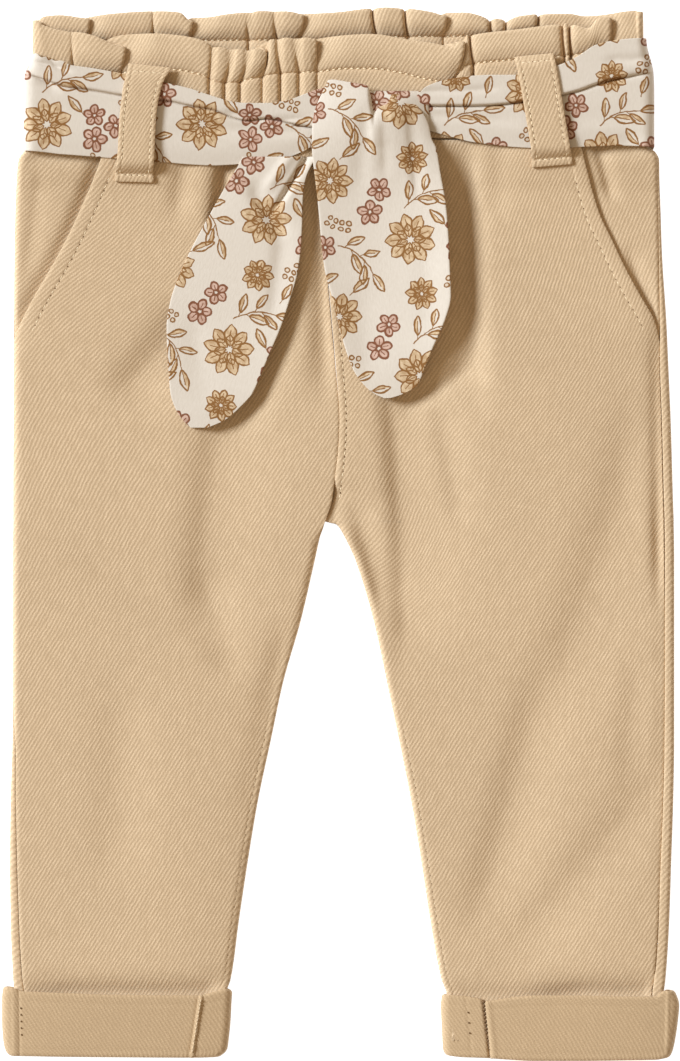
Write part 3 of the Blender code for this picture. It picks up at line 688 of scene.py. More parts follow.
# Outer and inner side of each turn-up, then its top and bottom edges
TURN_UP = chart(
    "y right_side right_inside left_inside left_side",
    (-208.4, -132.8, -47.6, 41.6, 131.8),
    (-206, -134.2, -45.2, 40.8, 132.8),
    (-202, -134.9, -44.6, 40.6, 133.7),
    (-195, -135.3, -43.9, 40.3, 134.7),
    (-187, -135.3, -43.5, 40, 135.3),
    (-182.6, -134.8, -43.2, 40.4, 133.6),
)
EDGE_COLUMNS = "x top bottom"
TURN_UP_EDGES = {
    "right": chart(
        EDGE_COLUMNS,
        (-134.8, -181.4, -207.4), (-132.7, -181.4, -208), (-126.6, -183, -208), (-112.2, -183.6, -208.2),
        (-86.8, -184.4, -208.4), (-56.4, -184.6, -208.6), (-50.2, -183.2, -208.4), (-46, -182.2, -208.2),
        (-43.4, -183, -207.4),
    ),
    "left": chart(
        EDGE_COLUMNS,
        (40.6, -184.4, -207.6), (48.4, -184.8, -208.4), (54.5, -185.7, -208.6), (58, -186.8, -208.7),
        (60.2, -186.6, -208.8), (65.8, -185.7, -209.2), (77.8, -184.6, -209.8), (95.2, -184.6, -209.8),
        (112.6, -185, -209.6), (125.8, -185, -209.4), (129.4, -182.8, -208.8), (133.4, -183, -208.2),
        (135.2, -184.6, -207.4),
    ),
}
# Ridges and grooves down the turn-ups, from their top edge to the fold
TURN_UP_SEAMS = chart(
    "side top bottom width height",
    ("right", -55.6, -59.2, 0.35, 0.7),
    ("right", -56.8, -60.4, 0.6, -0.2),
    ("right", -130.4, -130, 0.9, 0.25),
    ("right", -128.3, -127.9, 0.5, -0.3),
    ("left", 57, 59.6, 0.6, -1.6),
    ("left", 59, 61.6, 0.9, 0.2),
    ("left", 50, 52.4, 0.7, -0.12),
    ("left", 130.6, 130.2, 0.6, 0.35),
)
# Dark dots of painted shade where the needle went through, down the turn-ups beside their seams, the left
# seam's drawn-in stitches as dark beads in the same brown, and the pale threads along the right one's ridge
TURN_UP_DOTS = chart(
    "kind side top bottom low high pitch z",
    ("holes", "right", -127.6, -127.2, 0.3, 0.84, 2.4, 7.2),
    ("threads", "right", -55.6, -59.2, 0.06, 0.94, 1.5, 8.1),
    ("beads", "left", 57, 58.3, 0.36, 0.92, 1.5, 7.2),
    ("beads", "left", 58.4, 60.4, 0.04, 0.34, 1.1, 6.9),
    ("holes", "left", 50.6, 51.6, 0.3, 0.8, 3.4, 7.45),
    ("holes", "left", 129.4, 129, 0.2, 0.8, 2.4, 7.1),
)
DOTS_LOW, DOTS_TALL = -208.6, 24.6  # where the rows of dots start from, and the height they share
RAISED_FROM = 58.0  # from its seam outwards the left turn-up lies over the seam's turned edge
# Across the fold and the turned-in top edge: the share of the height, and how far inside the outer cloth
HEMS = chart(
    "step share inset",
    (0, 0.24, 1.5), (1, 0.10, 1.5), (2, 0.035, 1.35), (3, 0.008, 1), (4, 0, 0.6), (5, 0.01, 0.2),
    (6, 0.04, 0), (7, 0.10, 0), (9, 0.5, 0), (11, 0.9, 0), (12, 0.965, 0), (13, 0.99, 0.15),
    (14, 1, 0.5),
)


def dotted(dots):
    """Places of a row of dots, between two shares of the turn-up's height."""
    reach = dots.high - dots.low
    share = np.linspace(dots.low, dots.high, int(round(26.0 * reach / dots.pitch)))
    x = dots.bottom + (dots.top - dots.bottom) * ((share - dots.low) / reach)
    return list(zip(x, DOTS_LOW + DOTS_TALL * share, np.full_like(x, dots.z)))


def make_turn_up(which):
    inwards = INWARDS[which]
    turn = np.radians(np.linspace(0.0, 180.0, 9))
    front = np.linspace(0.0, 1.0, 200)[1:-1]
    stations = [("outer", a) for a in turn] + [("front", s) for s in front]
    stations += [("inner", a) for a in turn] + [("back", s) for s in np.linspace(0.0, 1.0, 24)[1:-1]]
    stations.append(stations[0])
    low, edge, crest = 0.65, 6.1, 7.2
    radius = (edge - low) / 2

    def place(c, r):
        share = along(HEMS, "share", r)
        inset = along(HEMS, "inset", r)
        nominal = TURN_UP[0].y + (TURN_UP[-1].y - TURN_UP[0].y) * share
        outer = along(TURN_UP, which + "_side", nominal) + inwards * TWILL / 2
        inner = along(TURN_UP, which + "_inside", nominal) - inwards * TWILL / 2
        start, end = outer + inwards * radius, inner - inwards * radius
        x, z = np.zeros_like(r), np.zeros_like(r)
        for i, (kind, s) in enumerate(stations):
            at = c == i
            if kind in ("front", "back"):
                hump = (crest - edge) * (1.0 - abs(2.0 * s - 1.0) ** 3)
                height = edge + hump - inset if kind == "front" else low + inset
                x[at] = (start + (s if kind == "front" else 1.0 - s) * (end - start))[at]
                z[at] = height[at]
            else:
                centre, way = (start, -inwards) if kind == "outer" else (end, inwards)
                rise = -math.cos(s) if kind == "outer" else math.cos(s)
                x[at] = (centre + way * (radius - inset) * math.sin(s))[at]
                z[at] = (low + radius + (radius - inset) * rise)[at]
        top = along(TURN_UP_EDGES[which], "top", x)
        bottom = along(TURN_UP_EDGES[which], "bottom", x)
        y = bottom + (top - bottom) * share
        on_top = ease(z, low + radius, edge - inset)
        for seam in TURN_UP_SEAMS:
            if seam.side == which:
                middle = seam.bottom + (seam.top - seam.bottom) * share
                z = z + on_top * seam.height * bell(x - middle, seam.width)
        if which == "left":
            step = RAISED_FROM + 2.2 * (1.0 - share)
            z = z + on_top * 0.7 * ease(x, step - 0.3, step + 0.4)
        z = z - on_top * 0.12 * bell(share - 0.86, 0.02) - on_top * 0.12 * bell(share - 0.09, 0.04)
        return x, y, z

    columns = np.arange(len(stations), dtype=float)
    rows = [np.arange(0.0, 7.0, 0.5), np.linspace(7.0, 11.0, 22), np.arange(11.25, 14.1, 0.25)]
    rows = np.concatenate(rows)
    piece = lay(
        "cuff_" + which, columns, rows, place, TWILL_REVERSE, ["turn_up_" + which],
        spin=inwards, closed=True
    )
    for kind, finish, long, thick in DOT_KINDS:
        lines = [dotted(dots) for dots in TURN_UP_DOTS if dots.side == which and dots.kind == kind]
        if lines:
            sew("cuff_%s_%s" % (kind, which), lines, finish, "twill_reverse", long, thick)
    "front_panel_" + which


RIDGE_THREAD = plain("ridge thread", (0.80, 0.62, 0.41), roughness=0.7)
# The material, length and thickness of each kind of dot
DOT_KINDS = [
    ("holes", HOLE_SHADE, 0.85, 0.65),
    ("beads", HOLE_SHADE, 1.3, 1.5),
    ("threads", RIDGE_THREAD, 1.5, 0.5),
]
REVERSE_SHADOW, REVERSE_LIGHT = (0.445, 0.305, 0.171), (0.64, 0.46, 0.279)
TWILL_REVERSE = twill("twill reverse", REVERSE_SHADOW, REVERSE_LIGHT, lean=125.0, contrast=0.5, depth=0.1)
for which in ("right", "left"):
    make_turn_up(which)

# Waist.
# The casing is folded double round an elastic and stitched through below its top, so the cloth above the
# stitching stands as a gathered frill. Its front and its back meet in a fold at each side.

CASING_Z, BACK_CASING_Z = 8.4, 3.9  # heights of the casing's front and back
CASING_LOW = WAIST + CLEAR
MIDDLE_Z = (CASING_Z + BACK_CASING_Z) / 2  # where they meet at the sides
FRILL_SINK = 1.0  # how far the frill settles towards its top
FRILL_WALL = 1.0  # thickness of the casing and its frill
GAP_COLUMNS = "x top step seam_x lap depth rise"
# Gaps between the frill's pleats: the place and height of the top edge, how much higher it goes on, the
# place at the stitching, how far the left pleat laps over the right one, the gap's depth and how high the
# next pleat stands. A negative depth is a crease that fades upwards. Where it is 0 the row only shapes the
# pleat
FRONT_GAPS = chart(
    GAP_COLUMNS,
    (-119, 202.8, 0, -118.6, 0, 0, 0.4),
    (-107.2, 200, -0.1, -106.6, 0, -0.1, 0.9),
    (-97, 197.9, 0, -98, 0, 0, 1.9),
    (-85.9, 193.8, 5.4, -87.6, 8, 2.2, 0),
    (-74, 199.3, 0, -74.2, 0, 0, 0.8),
    (-67.6, 198.9, 0, -66.4, 0, 0, 0.8),
    (-57, 197.2, 0, -58.4, 0, 0, 1.2),
    (-51.6, 195, -1.2, -52.6, 0, -0.3, 0.9),
    (-43.8, 192.9, 0, -46.4, 0, -0.6, 1.2),
    (-37, 192.4, 0.2, -40.2, 0, -0.9, 1.6),
    (-29.6, 192.6, 3.6, -31.4, 4, 2.4, 0.3),
    (-25.2, 197, 0.2, -24.2, 0, 0.4, 1),
    (-17.8, 197.2, 0, -16.8, 0, -0.8, 1.3),
    (-9.9, 197.2, 0.2, -9.4, 1.4, 2.3, 0.2),
    (1.8, 198.6, 0, 1.8, 0, 0, 0.7),
    (13, 199.1, 0, 13, 0, 0, 0.9),
    (25.8, 197, 0, 25.4, 0, 0, 1.3),
    (36.6, 195.4, 0, 35.8, 0, 0, 2),
    (43.8, 193.9, 0, 41.6, 0, 0, 2.5),
    (49.4, 196, 1.6, 44.6, 9, 2.6, -0.8),
    (51.6, 198.9, 0, 52.8, 0, 3, 0.1),
    (69.8, 200.8, 0, 69.8, 0, 0, 0.5),
    (88, 203, 0, 89, 0, 2.1, 0.2),
    (91.2, 202.8, -0.1, 91.8, 0, 2.4, 1.8),
    (99, 200.9, 0, 100.6, 0, 0, 2.2),
    (103, 205.8, 0, 104.4, 0, 0, 2),
    (107.5, 205.6, 1.8, 107.9, 3, 1.9, -0.6),
    (113, 208.2, 0, 113, 0, 0, -1),
    (118, 208.6, 0, 118.4, 0, 0, -1.2),
)
BACK_GAPS = chart(
    GAP_COLUMNS,
    (-118.2, 206.4, 0, -118.2, 0, 0, 0.3),
    (-111.2, 206.9, 0, -111.2, 0, 0, 0.8),
    (-100.4, 205.6, 0.8, -101.2, 2, 1.8, -0.4),
    (-92, 207.4, 0, -92.2, 0, 0, 0.4),
    (-75, 208.5, 0, -74.6, 0, 0.2, 0.7),
    (-64, 208, 0, -65, 0, 0, 1.4),
    (-59.4, 204.8, 1.2, -60.4, 1.8, 2, -0.4),
    (-52.4, 206.1, 0, -53.6, 0, 0, -0.5),
    (-47, 207, 0, -48.4, 0, 0, 0.6),
    (-37.4, 207.9, 0, -37, 0, -0.4, 0.6),
    (-26.6, 208.4, 0, -25.6, 0, -0.1, 0.8),
    (-15, 207.4, 0.2, -16.4, 1.8, 2.1, -0.2),
    (-7.4, 207.7, 0, -7.4, 0, 0, 0.1),
    (-0.6, 208.1, 0, -0.2, 0, 0, 0.5),
    (12.6, 209.7, 0, 14.6, 0, 2.8, 0.6),
    (25.6, 209.4, 0, 26.8, 0, 2.8, 1.4),
    (42, 206.8, 1.2, 41, 1.8, 2, -0.3),
    (50, 208, 0, 50, 0, 0, 0.4),
    (59.4, 205.4, -0.2, 60.2, 0, 2.6, -0.2),
    (66, 204.8, 0.2, 65.4, 0, 2.7, 1.2),
    (78.8, 207.2, 0, 78, 0, 2.8, 0.5),
    (91.8, 207.5, 0, 91.8, 0, 0, -0.5),
    (97, 206.5, 0, 97, 0, 0, -1),
    (103, 206.7, 0, 103, 0, 0, -0.3),
    (113.8, 208.1, 0, 113.8, 0, 0, 0.4),
)
SEAM_COLUMNS = "x y"
# Height of the stitching under the frill
FRONT_SEAM = chart(
    SEAM_COLUMNS,
    (-122.4, 184.6), (-107, 184.2), (-86, 183.8), (-68.8, 185), (-59.8, 184), (-52, 181.4),
    (-48.6, 179.8), (-43.6, 179.7), (-36.6, 181), (-25.2, 183.3), (-9, 184.1), (7.8, 185.7),
    (20.2, 184.4), (31, 182), (41, 180), (43.8, 180.1), (47, 183.4), (50.6, 186.8), (57.8, 187.9),
    (88, 190.3), (108, 192.6), (121.6, 193.4),
)
BACK_SEAM = chart(
    SEAM_COLUMNS,
    (-122.4, 196.6), (-70, 197), (5.8, 197.4), (20, 198.4), (70, 199), (121.6, 199.8),
)
WAIST_ENDS = (-122.4, 120.4)
SIDE_ROUND = 1.6  # radius of the fold at each of them
SIDE_TOPS = (204.8, 208.2)  # height at which the front and the back meet at each side
PLEAT_EDGES = (1.0, 1.9)  # how far before and after the bottom of a gap the pleats begin
# The cloth where one pleat laps over the next: how far ahead of the gap and, as a share of the lap, how far
# back each point lies, its share of the step up and of the way down, then its place and height at the
# stitching
LAPS = chart(
    "ahead back change sink seam gather",
    (-1.3, 0, 0, 0, -0.9, 0),
    (0, 0, 0, 0.16, -0.2, -0.8),
    (-0.2, 0.35, 0.4, 0.42, 0.1, -1.3),
    (0, 1, 0.8, 0.68, 0.2, -1.5),
    (0.5, 1, 1, 0.95, 0.4, -1.4),
    (0.9, 0, 1, 1, 1, -0.3),
)
UNDERLAP_FALL = 0.3  # how much lower, per distance back, the cloth lies where it folds under a pleat
RUFFLE_COLUMNS = "cloth x top rise seam_x seam gather"


def side_turn(end, way, top, level):
    """The cloth's turn at one side of the waist, from the middle of the front and the back up or down."""
    points = []
    for angle in np.radians([0.0, 30.0, 60.0, 90.0]):
        x = end + way * SIDE_ROUND * (1.0 - math.cos(angle))
        rise = (MIDDLE_Z - level) * (1.0 - math.sin(angle))
        points.append((x, top, rise, x, rise))
    return points


def ruffles(gaps, seam_line, level):
    """Points along the gathered cloth, worked out from its gaps."""
    before_gap, after_gap = PLEAT_EDGES
    points = side_turn(WAIST_ENDS[0], 1.0, SIDE_TOPS[0], level)
    for before, gap, after in zip(gaps[:1] + gaps, gaps, gaps[1:] + gaps[-1:]):
        if not gap.depth:
            points.append((gap.x, gap.top, gap.rise, gap.seam_x, 0.2))
        elif not gap.lap:
            far_top = gap.top + gap.step
            dip = min(gap.top, far_top) - 0.3 * max(gap.depth, 0.0)
            points.append((gap.x - before_gap, gap.top, 0.9 * before.rise, gap.seam_x - before_gap, 0.2))
            points.append((gap.x, dip, -gap.depth, gap.seam_x, -(1.7 + 0.35 * gap.depth)))
            points.append((gap.x + after_gap, far_top, 0.9 * gap.rise, gap.seam_x + after_gap, 0.2))
        else:
            for lap in LAPS:
                x = gap.x + lap.ahead - lap.back * gap.lap
                rise = before.rise - lap.sink * (before.rise + gap.depth)
                top = gap.top + lap.change * gap.step - UNDERLAP_FALL * lap.back * gap.lap
                points.append((x, top, rise, gap.seam_x + lap.seam, lap.gather))
        if gap.depth and after.depth:
            for share, crown in ((0.42, 0.5), (0.68, 0.35)):
                x = gap.x + share * (after.x - gap.x)
                top = gap.top + gap.step + share * (after.top - gap.top - gap.step) + 0.8 * crown
                seam_x = gap.seam_x + share * (after.seam_x - gap.seam_x)
                points.append((x, top, gap.rise + crown, seam_x, 0.4 + 0.6 * crown))
    points += side_turn(WAIST_ENDS[1], -1.0, SIDE_TOPS[1], level)[::-1]
    x, top, rise, seam_x, gather = np.array(points).T
    cloth = np.concatenate([[0.0], np.hypot(np.diff(x), np.diff(rise)).cumsum()])
    seam = along(seam_line, "y", seam_x)
    return chart(RUFFLE_COLUMNS, *zip(cloth, x, top, rise, seam_x, seam, gather))


def ruffled(table, level):
    """The casing's surface from its lower edge, at 0, by the stitching, at 1, to the frill's top, at 2."""
    lean = 0.8 if level > MIDDLE_Z else 2.8
    whole = table[-1].cloth

    def place(c, r):
        casing, frill = np.minimum(r, 1.0), np.maximum(r - 1.0, 0.0)
        seam, seam_x = along(table, "seam", c), along(table, "seam_x", c)
        y = CASING_LOW + (seam - CASING_LOW) * casing + (along(table, "top", c) - seam) * frill
        opened = 1.0 - (1.0 - frill) ** 2.2
        x = seam_x + (along(table, "x", c) - seam_x) * opened
        gathered = along(table, "gather", c) * (0.6 + 0.4 * casing ** 2)
        standing = along(table, "rise", c) - FRILL_SINK * ease(frill, 0.3, 1.0)
        z = level + gathered + (standing - gathered) * ease(frill, 0.0, 0.75)
        crown = 0.4 * np.sin(np.pi * np.clip(frill, 0.0, 1.0))
        inside = ease(np.minimum(c, whole - c), 0.0, 5.0)
        z = z + inside * (lean * (0.4 - (1.0 - frill) ** 2) + crown)
        z = z - 0.9 * bell(y - seam, 0.7) - 0.8 * ease(frill, 0.9, 1.0)
        return x, y, np.maximum(z, FRILL_WALL / 2 + 0.1)

    return place


FRONT_RUFFLES = ruffles(FRONT_GAPS, FRONT_SEAM, CASING_Z)
BACK_RUFFLES = ruffles(BACK_GAPS, BACK_SEAM, BACK_CASING_Z)


def make_waist(name, table, level, nodes):
    keys = [row.cloth for row in table]
    spans = [np.linspace(first, last, 4)[:-1] for first, last in zip(keys, keys[1:])]
    columns = np.concatenate(spans + [keys[-1:]])
    below = [0.0, 0.2, 0.4, 0.6, 0.75, 0.85, 0.92, 0.96, 0.98, 1.0]
    above = [1.02, 1.05, 1.1, 1.2, 1.32, 1.45, 1.6, 1.75, 1.85, 1.91, 1.95, 1.98, 2.0]
    return lay(
        name, columns, np.array(below + above), ruffled(table, level), TWILL_FACE, nodes,
        wall=FRILL_WALL, smoother=1
    )


def waist_stitches(table, level, first, last):
    """Threads along the stitching, left out where the cloth folds back under itself."""
    c = np.linspace(table[0].cloth, table[-1].cloth, 4000)
    x, y, z = ruffled(table, level)(c, np.ones_like(c))
    shows = (along(table, "gather", c) > -0.7) & (x > first) & (x < last)
    lines = []
    for part in np.split(np.arange(len(c)), np.flatnonzero(np.diff(shows.astype(int))) + 1):
        if shows[part[0]] and len(part) > 12:
            at = np.interp(paced(x[part], y[part], pitch=2.4)[0], x[part], part)
            near = np.rint(at).astype(int)
            lines.append(list(zip(x[near], y[near], z[near] + FRILL_WALL / 2 + 0.35)))
    return [line for line in lines if len(line) > 1]


waist_front = make_waist("waist_front", FRONT_RUFFLES, CASING_Z, ["waistband_front"])
waist_back = make_waist("waist_back", BACK_RUFFLES, BACK_CASING_Z, ["waistband_back"])
lines = waist_stitches(FRONT_RUFFLES, CASING_Z, first=-121.0, last=119.0)
front_thread = sew("waist_stitches_front", lines, THREAD, "twill", length=1.6, thick=0.62)
lines = waist_stitches(BACK_RUFFLES, BACK_CASING_Z, first=-116.0, last=116.0)
back_thread = sew("waist_stitches_back", lines, THREAD, "twill", length=1.6, thick=0.62)
rests_on = ["front_panel_right", "front_panel_left", waist_back.name]
rests_on = ["back_panel_right", "back_panel_left"]

# Belt loops.
# Each is a narrow strip of twill with its edges turned in and stitched, its ends folded under and tacked
# down above and below the belt: two on the front and two behind.

BELT_LEVEL = 10.8  # height of the belt's crease in front
BELT_WALL = 0.6  # thickness of the doubled belt
# Each loop from its lower end up: its middle and width, how far it has risen over the belt, and its slant
LOOP_COLUMNS = "y x width over_belt skew"
RIGHT_LOOP = chart(
    LOOP_COLUMNS,
    (140.2, -82.2, 15.4, 0, -0.4),
    (143.4, -82.2, 15.2, 0, -0.3),
    (145.4, -82, 14.9, 0.55, 0),
    (147.8, -81.6, 14.6, 1, 0),
    (166, -80.6, 14.4, 1, 0),
    (178, -78.8, 15, 1, -0.3),
    (182, -77.4, 15.6, 0.95, -0.8),
    (184.4, -76.4, 16.4, 0.5, -1.4),
    (186.2, -75.8, 17, 0.25, -1.9),
)
LEFT_LOOP = chart(
    LOOP_COLUMNS,
    (146.6, 84.4, 16.2, 0, 1.4),
    (149.6, 84.2, 15.8, 0, 1.4),
    (151.4, 84, 15.6, 0.55, 1),
    (153.6, 83.6, 15.4, 1, 0.4),
    (168, 81.2, 15.4, 1, 0.4),
    (182, 78.8, 15.4, 1, 0.8),
    (186, 78, 15.4, 0.95, 1.2),
    (188.6, 77.4, 15.4, 0.5, 1.4),
    (190.4, 77, 15.4, 0.25, 1.5),
)
LOOP_WIDTH = 15.4
LOOP_STITCH = 1.9  # from a loop's edges to its topstitching
LOOP_TACK = 2.6  # from its ends to the stitching across them
UNDER_LOOP = 0.2  # air under a loop
ACROSS_LOOP = [-0.5, -0.485, -0.45, -0.42, -0.39, -0.37, -0.34, -0.28, -0.18, -0.09, 0.0]
ACROSS_LOOP += [-share for share in reversed(ACROSS_LOOP[:-1])]


def loop_surface(which, table):
    over = BELT_LEVEL + 0.65 + BELT_WALL / 2 + UNDER_LOOP + TWILL / 2

    def place(c, y):
        x = along(table, "x", y) + c * along(table, "width", y)
        on_casing = CASING_Z + FRILL_WALL / 2 + UNDER_LOOP + TWILL / 2
        lying = np.where(y > WAIST, on_casing, front_height(which, x, y) + TWILL + UNDER_LOOP)
        z = lying + (over - lying) * along(table, "over_belt", y)
        from_edge = (0.5 - np.abs(c)) * along(table, "width", y)
        from_end = np.minimum(y - table[0].y, table[-1].y - y)
        z = z - 0.2 * bell(from_edge - LOOP_STITCH, 0.4) - 0.35 * bell(from_edge, 0.4)
        z = z - 0.25 * bell(from_end - LOOP_TACK, 0.3) + 0.35 * ease(from_end, 3.6, 2.4)
        z = z - 0.3 * bell(from_end, 0.4)
        return x, y + along(table, "skew", y) * c, z

    return place


def make_front_loop(which, table):
    first, last = table[0].y, table[-1].y
    ends = [0.0, 0.3, 0.7, 1.2, 1.7, 2.1, 2.4, 2.6, 2.8, 3.1, 3.6, 4.3, 5.2, 6.4, 7.8]
    rows = [first + end for end in ends] + list(np.linspace(first + 10.0, last - 10.0, 10))
    rows += [last - end for end in reversed(ends)]
    surface = loop_surface(which, table)
    piece = lay(
        "loop_front_" + which, np.array(ACROSS_LOOP), np.array(rows), surface, TWILL_FACE,
        ["belt_loop_front_" + which], smoother=1
    )
    lines = []
    for side in (-1.0, 1.0):
        y = np.linspace(first + LOOP_TACK, last - LOOP_TACK, 16)
        share = side * (0.5 - LOOP_STITCH / LOOP_WIDTH)
        lines.append(stitched(surface, np.full_like(y, share), y))
    for y in (first + LOOP_TACK, last - LOOP_TACK):
        c = np.linspace(-0.38, 0.38, 6)
        lines.append(stitched(surface, c, np.full_like(c, y)))
    added = topstitch("loop", which, lines, thread=(1.7, 0.5), hole=(0.6, 0.5))
    rests_on = ["front_panel_" + which, waist_front.name, "belt_stretch_" + which]


def stitched(surface, c, r):
    x, y, z = surface(c, r)
    return list(zip(x, y, z + TWILL / 2 + 0.02))


def make_back_loop(which):
    centre = -62.0 * INWARDS[which]
    wide = 14.0

    def place(c, y):
        return centre + c * wide, y, 0.62 - 0.25 * bell((0.5 - np.abs(c)) * wide, 0.5)

    piece = lay(
        "loop_back_" + which, np.array(ACROSS_LOOP), np.linspace(143.5, 198.0, 14), place, TWILL_FACE,
        ["belt_loop_back_" + which], spin=-1.0
    )


for which, table in (("right", RIGHT_LOOP), ("left", LEFT_LOOP)):
    make_front_loop(which, table)
    make_back_loop(which)

# Tie belt.
# A strip of printed cotton, two layers thick and pressed flat, runs through the loops and all round the
# waist. It is tied once at the front.

TILE = (62.0, 54.0)  # one repeat of the print
MOTIFS = chart(
    "kind x y turn size",
    ("flower", 12, 11, 20, 10.2),
    ("flower", 43.5, 36.5, 75, 9.2),
    ("flower", 15, 43, 10, 6.4),
    ("blossom", 31, 5, 0, 4.9),
    ("blossom", 39.6, 10.2, 40, 4.6),
    ("blossom", 31, 14.6, 20, 4.3),
    ("blossom", 58.6, 22.6, 15, 4.9),
    ("blossom", 1, 31.6, 50, 4.6),
    ("sprig", 17, 28, 22, 8),
    ("sprig", 52.5, 6.5, -42, 8.5),
    ("rings", 43.2, 20, 10, 1),
    ("rings", 48.4, 18, 30, 1),
    ("rings", 27, 46.6, 35, 1),
    ("rings", 30.6, 51, 5, 1),
    ("leaf", 23.2, 19, 130, 4.2),
    ("leaf", 40.5, 51.6, 20, 4.2),
    ("leaf", 53, 48, 35, 4.4),
    ("leaf", 28, 39.6, 75, 3.6),
)
# Leaves of a sprig: where each leaves the stem, as a share of its half, its angle to it and its half length
LEAVES = chart(
    "along turn long",
    (-0.72, 46, 3.9), (-0.36, -38, 4.3), (0.12, 52, 3.6), (0.46, -44, 3.9), (1, 8, 4.2),
)
LINE = 0.38  # half the width of a drawn line
STALK = 1.6  # length of a leaf's stalk
BEND = 19.0  # radius of a sprig's stem


def outline(distance, pressure, width=LINE):
    """1 on a line where the distance in millimetres is 0; the pressure of the hand widens and breaks it."""
    return (abs(distance) - (pressure * 0.9 + 0.5) * width).step(0.12, -0.12)


def radius_of(x, y):
    return x.maths("SQRT", x * x + y * y)


def in_slice(place, count, turn=0.0):
    """Place in the nearest of that many slices round 0: the way out along its middle, and across it."""
    x, y = place.x_and_y()
    half = math.pi / count
    angle = y.maths("ARCTAN2", y, x) + math.radians(turn)
    local = angle.maths("WRAP", angle, half, -half)
    radius = radius_of(x, y)
    return radius * local.cos(), radius * local.maths("SINE", local)


def round_petals(place, pressure, count, at, long, wide, turn=0.0, tip=False):
    """Ring of petals, oval or pointed at both ends: the drawn lines, and what they enclose."""
    out, v = in_slice(place, count, turn)
    u = (out - at) / long
    if tip:
        level = abs(v) - (1.0 - u * u) * wide
    else:
        level = (u.maths("SQRT", u * u + v * v / (wide * wide)) - 1.0) * wide
    rib = outline(v, pressure, 0.2) * abs(u + 0.2).step(0.62, 0.5)
    return outline(level, pressure).largest(rib), level.step(0.1, -0.1)


def pointed(place, pressure, long, wide):
    """A leaf round 0 with its stalk: the drawn lines, and what they enclose on one side of the midrib."""
    u, v = place.x_and_y()
    level = abs(v) - (wide - u * u * (wide / long / long))
    reach = (1.4 * long + STALK) / 2
    rib = outline(v, pressure, 0.2) * abs(u + (long + STALK - reach)).step(reach + 0.2, reach)
    drawn = outline(level, pressure) * abs(u).step(long + 0.3, long - 0.1)
    return drawn.largest(rib), level.step(0.1, -0.1) * v.step(-0.2, 0.2)


def drawn_motif(kind, place, pressure, size):
    """The lines and fills of one motif, for place in millimetres from its middle."""
    if kind == "flower":
        lines, fill = round_petals(place, pressure, 9, size * 0.66, size * 0.34, size * 0.22, tip=True)
        shape = {"at": size * 0.36, "long": size * 0.24, "wide": size * 0.15, "turn": 24.0, "tip": True}
        inner, more = round_petals(place, pressure, 7, **shape)
        return lines.largest(inner), fill.largest(more)
    if kind == "blossom":
        return round_petals(place, pressure, 5, size * 0.6, size * 0.4, size * 0.34)
    if kind == "rings":
        out, v = in_slice(place, 4)
        ring = radius_of(out - 1.9, v)
        return outline(ring - 0.85, pressure, 0.3), ring.step(0.7, 0.5) * 0.4
    if kind == "leaf":
        return pointed(place, pressure, size, size * 0.36)
    x, y = place.x_and_y()
    arm = y + BEND
    run = x.maths("ARCTAN2", x, arm) * BEND
    off = radius_of(x, arm) - BEND
    lines = outline(off, pressure, 0.27) * abs(run).step(size + 0.3, size)
    fill = lines * 0.0
    for leaf in LEAVES:
        turn = leaf.along * size / BEND
        angle = math.radians(leaf.turn) - turn
        reach = leaf.long + STALK
        at_x = BEND * math.sin(turn) + reach * math.cos(angle)
        at_y = BEND * (math.cos(turn) - 1.0) + reach * math.sin(angle)
        sockets = {"Vector": place, "Location": (at_x, at_y, 0.0), "Rotation": (0.0, 0.0, angle)}
        moved = place.node("Mapping", {"vector_type": "TEXTURE"}, sockets)
        drawn, inner = pointed(moved, pressure, leaf.long, leaf.long * 0.37)
        lines, fill = lines.largest(drawn), fill.largest(inner)
    return lines, fill


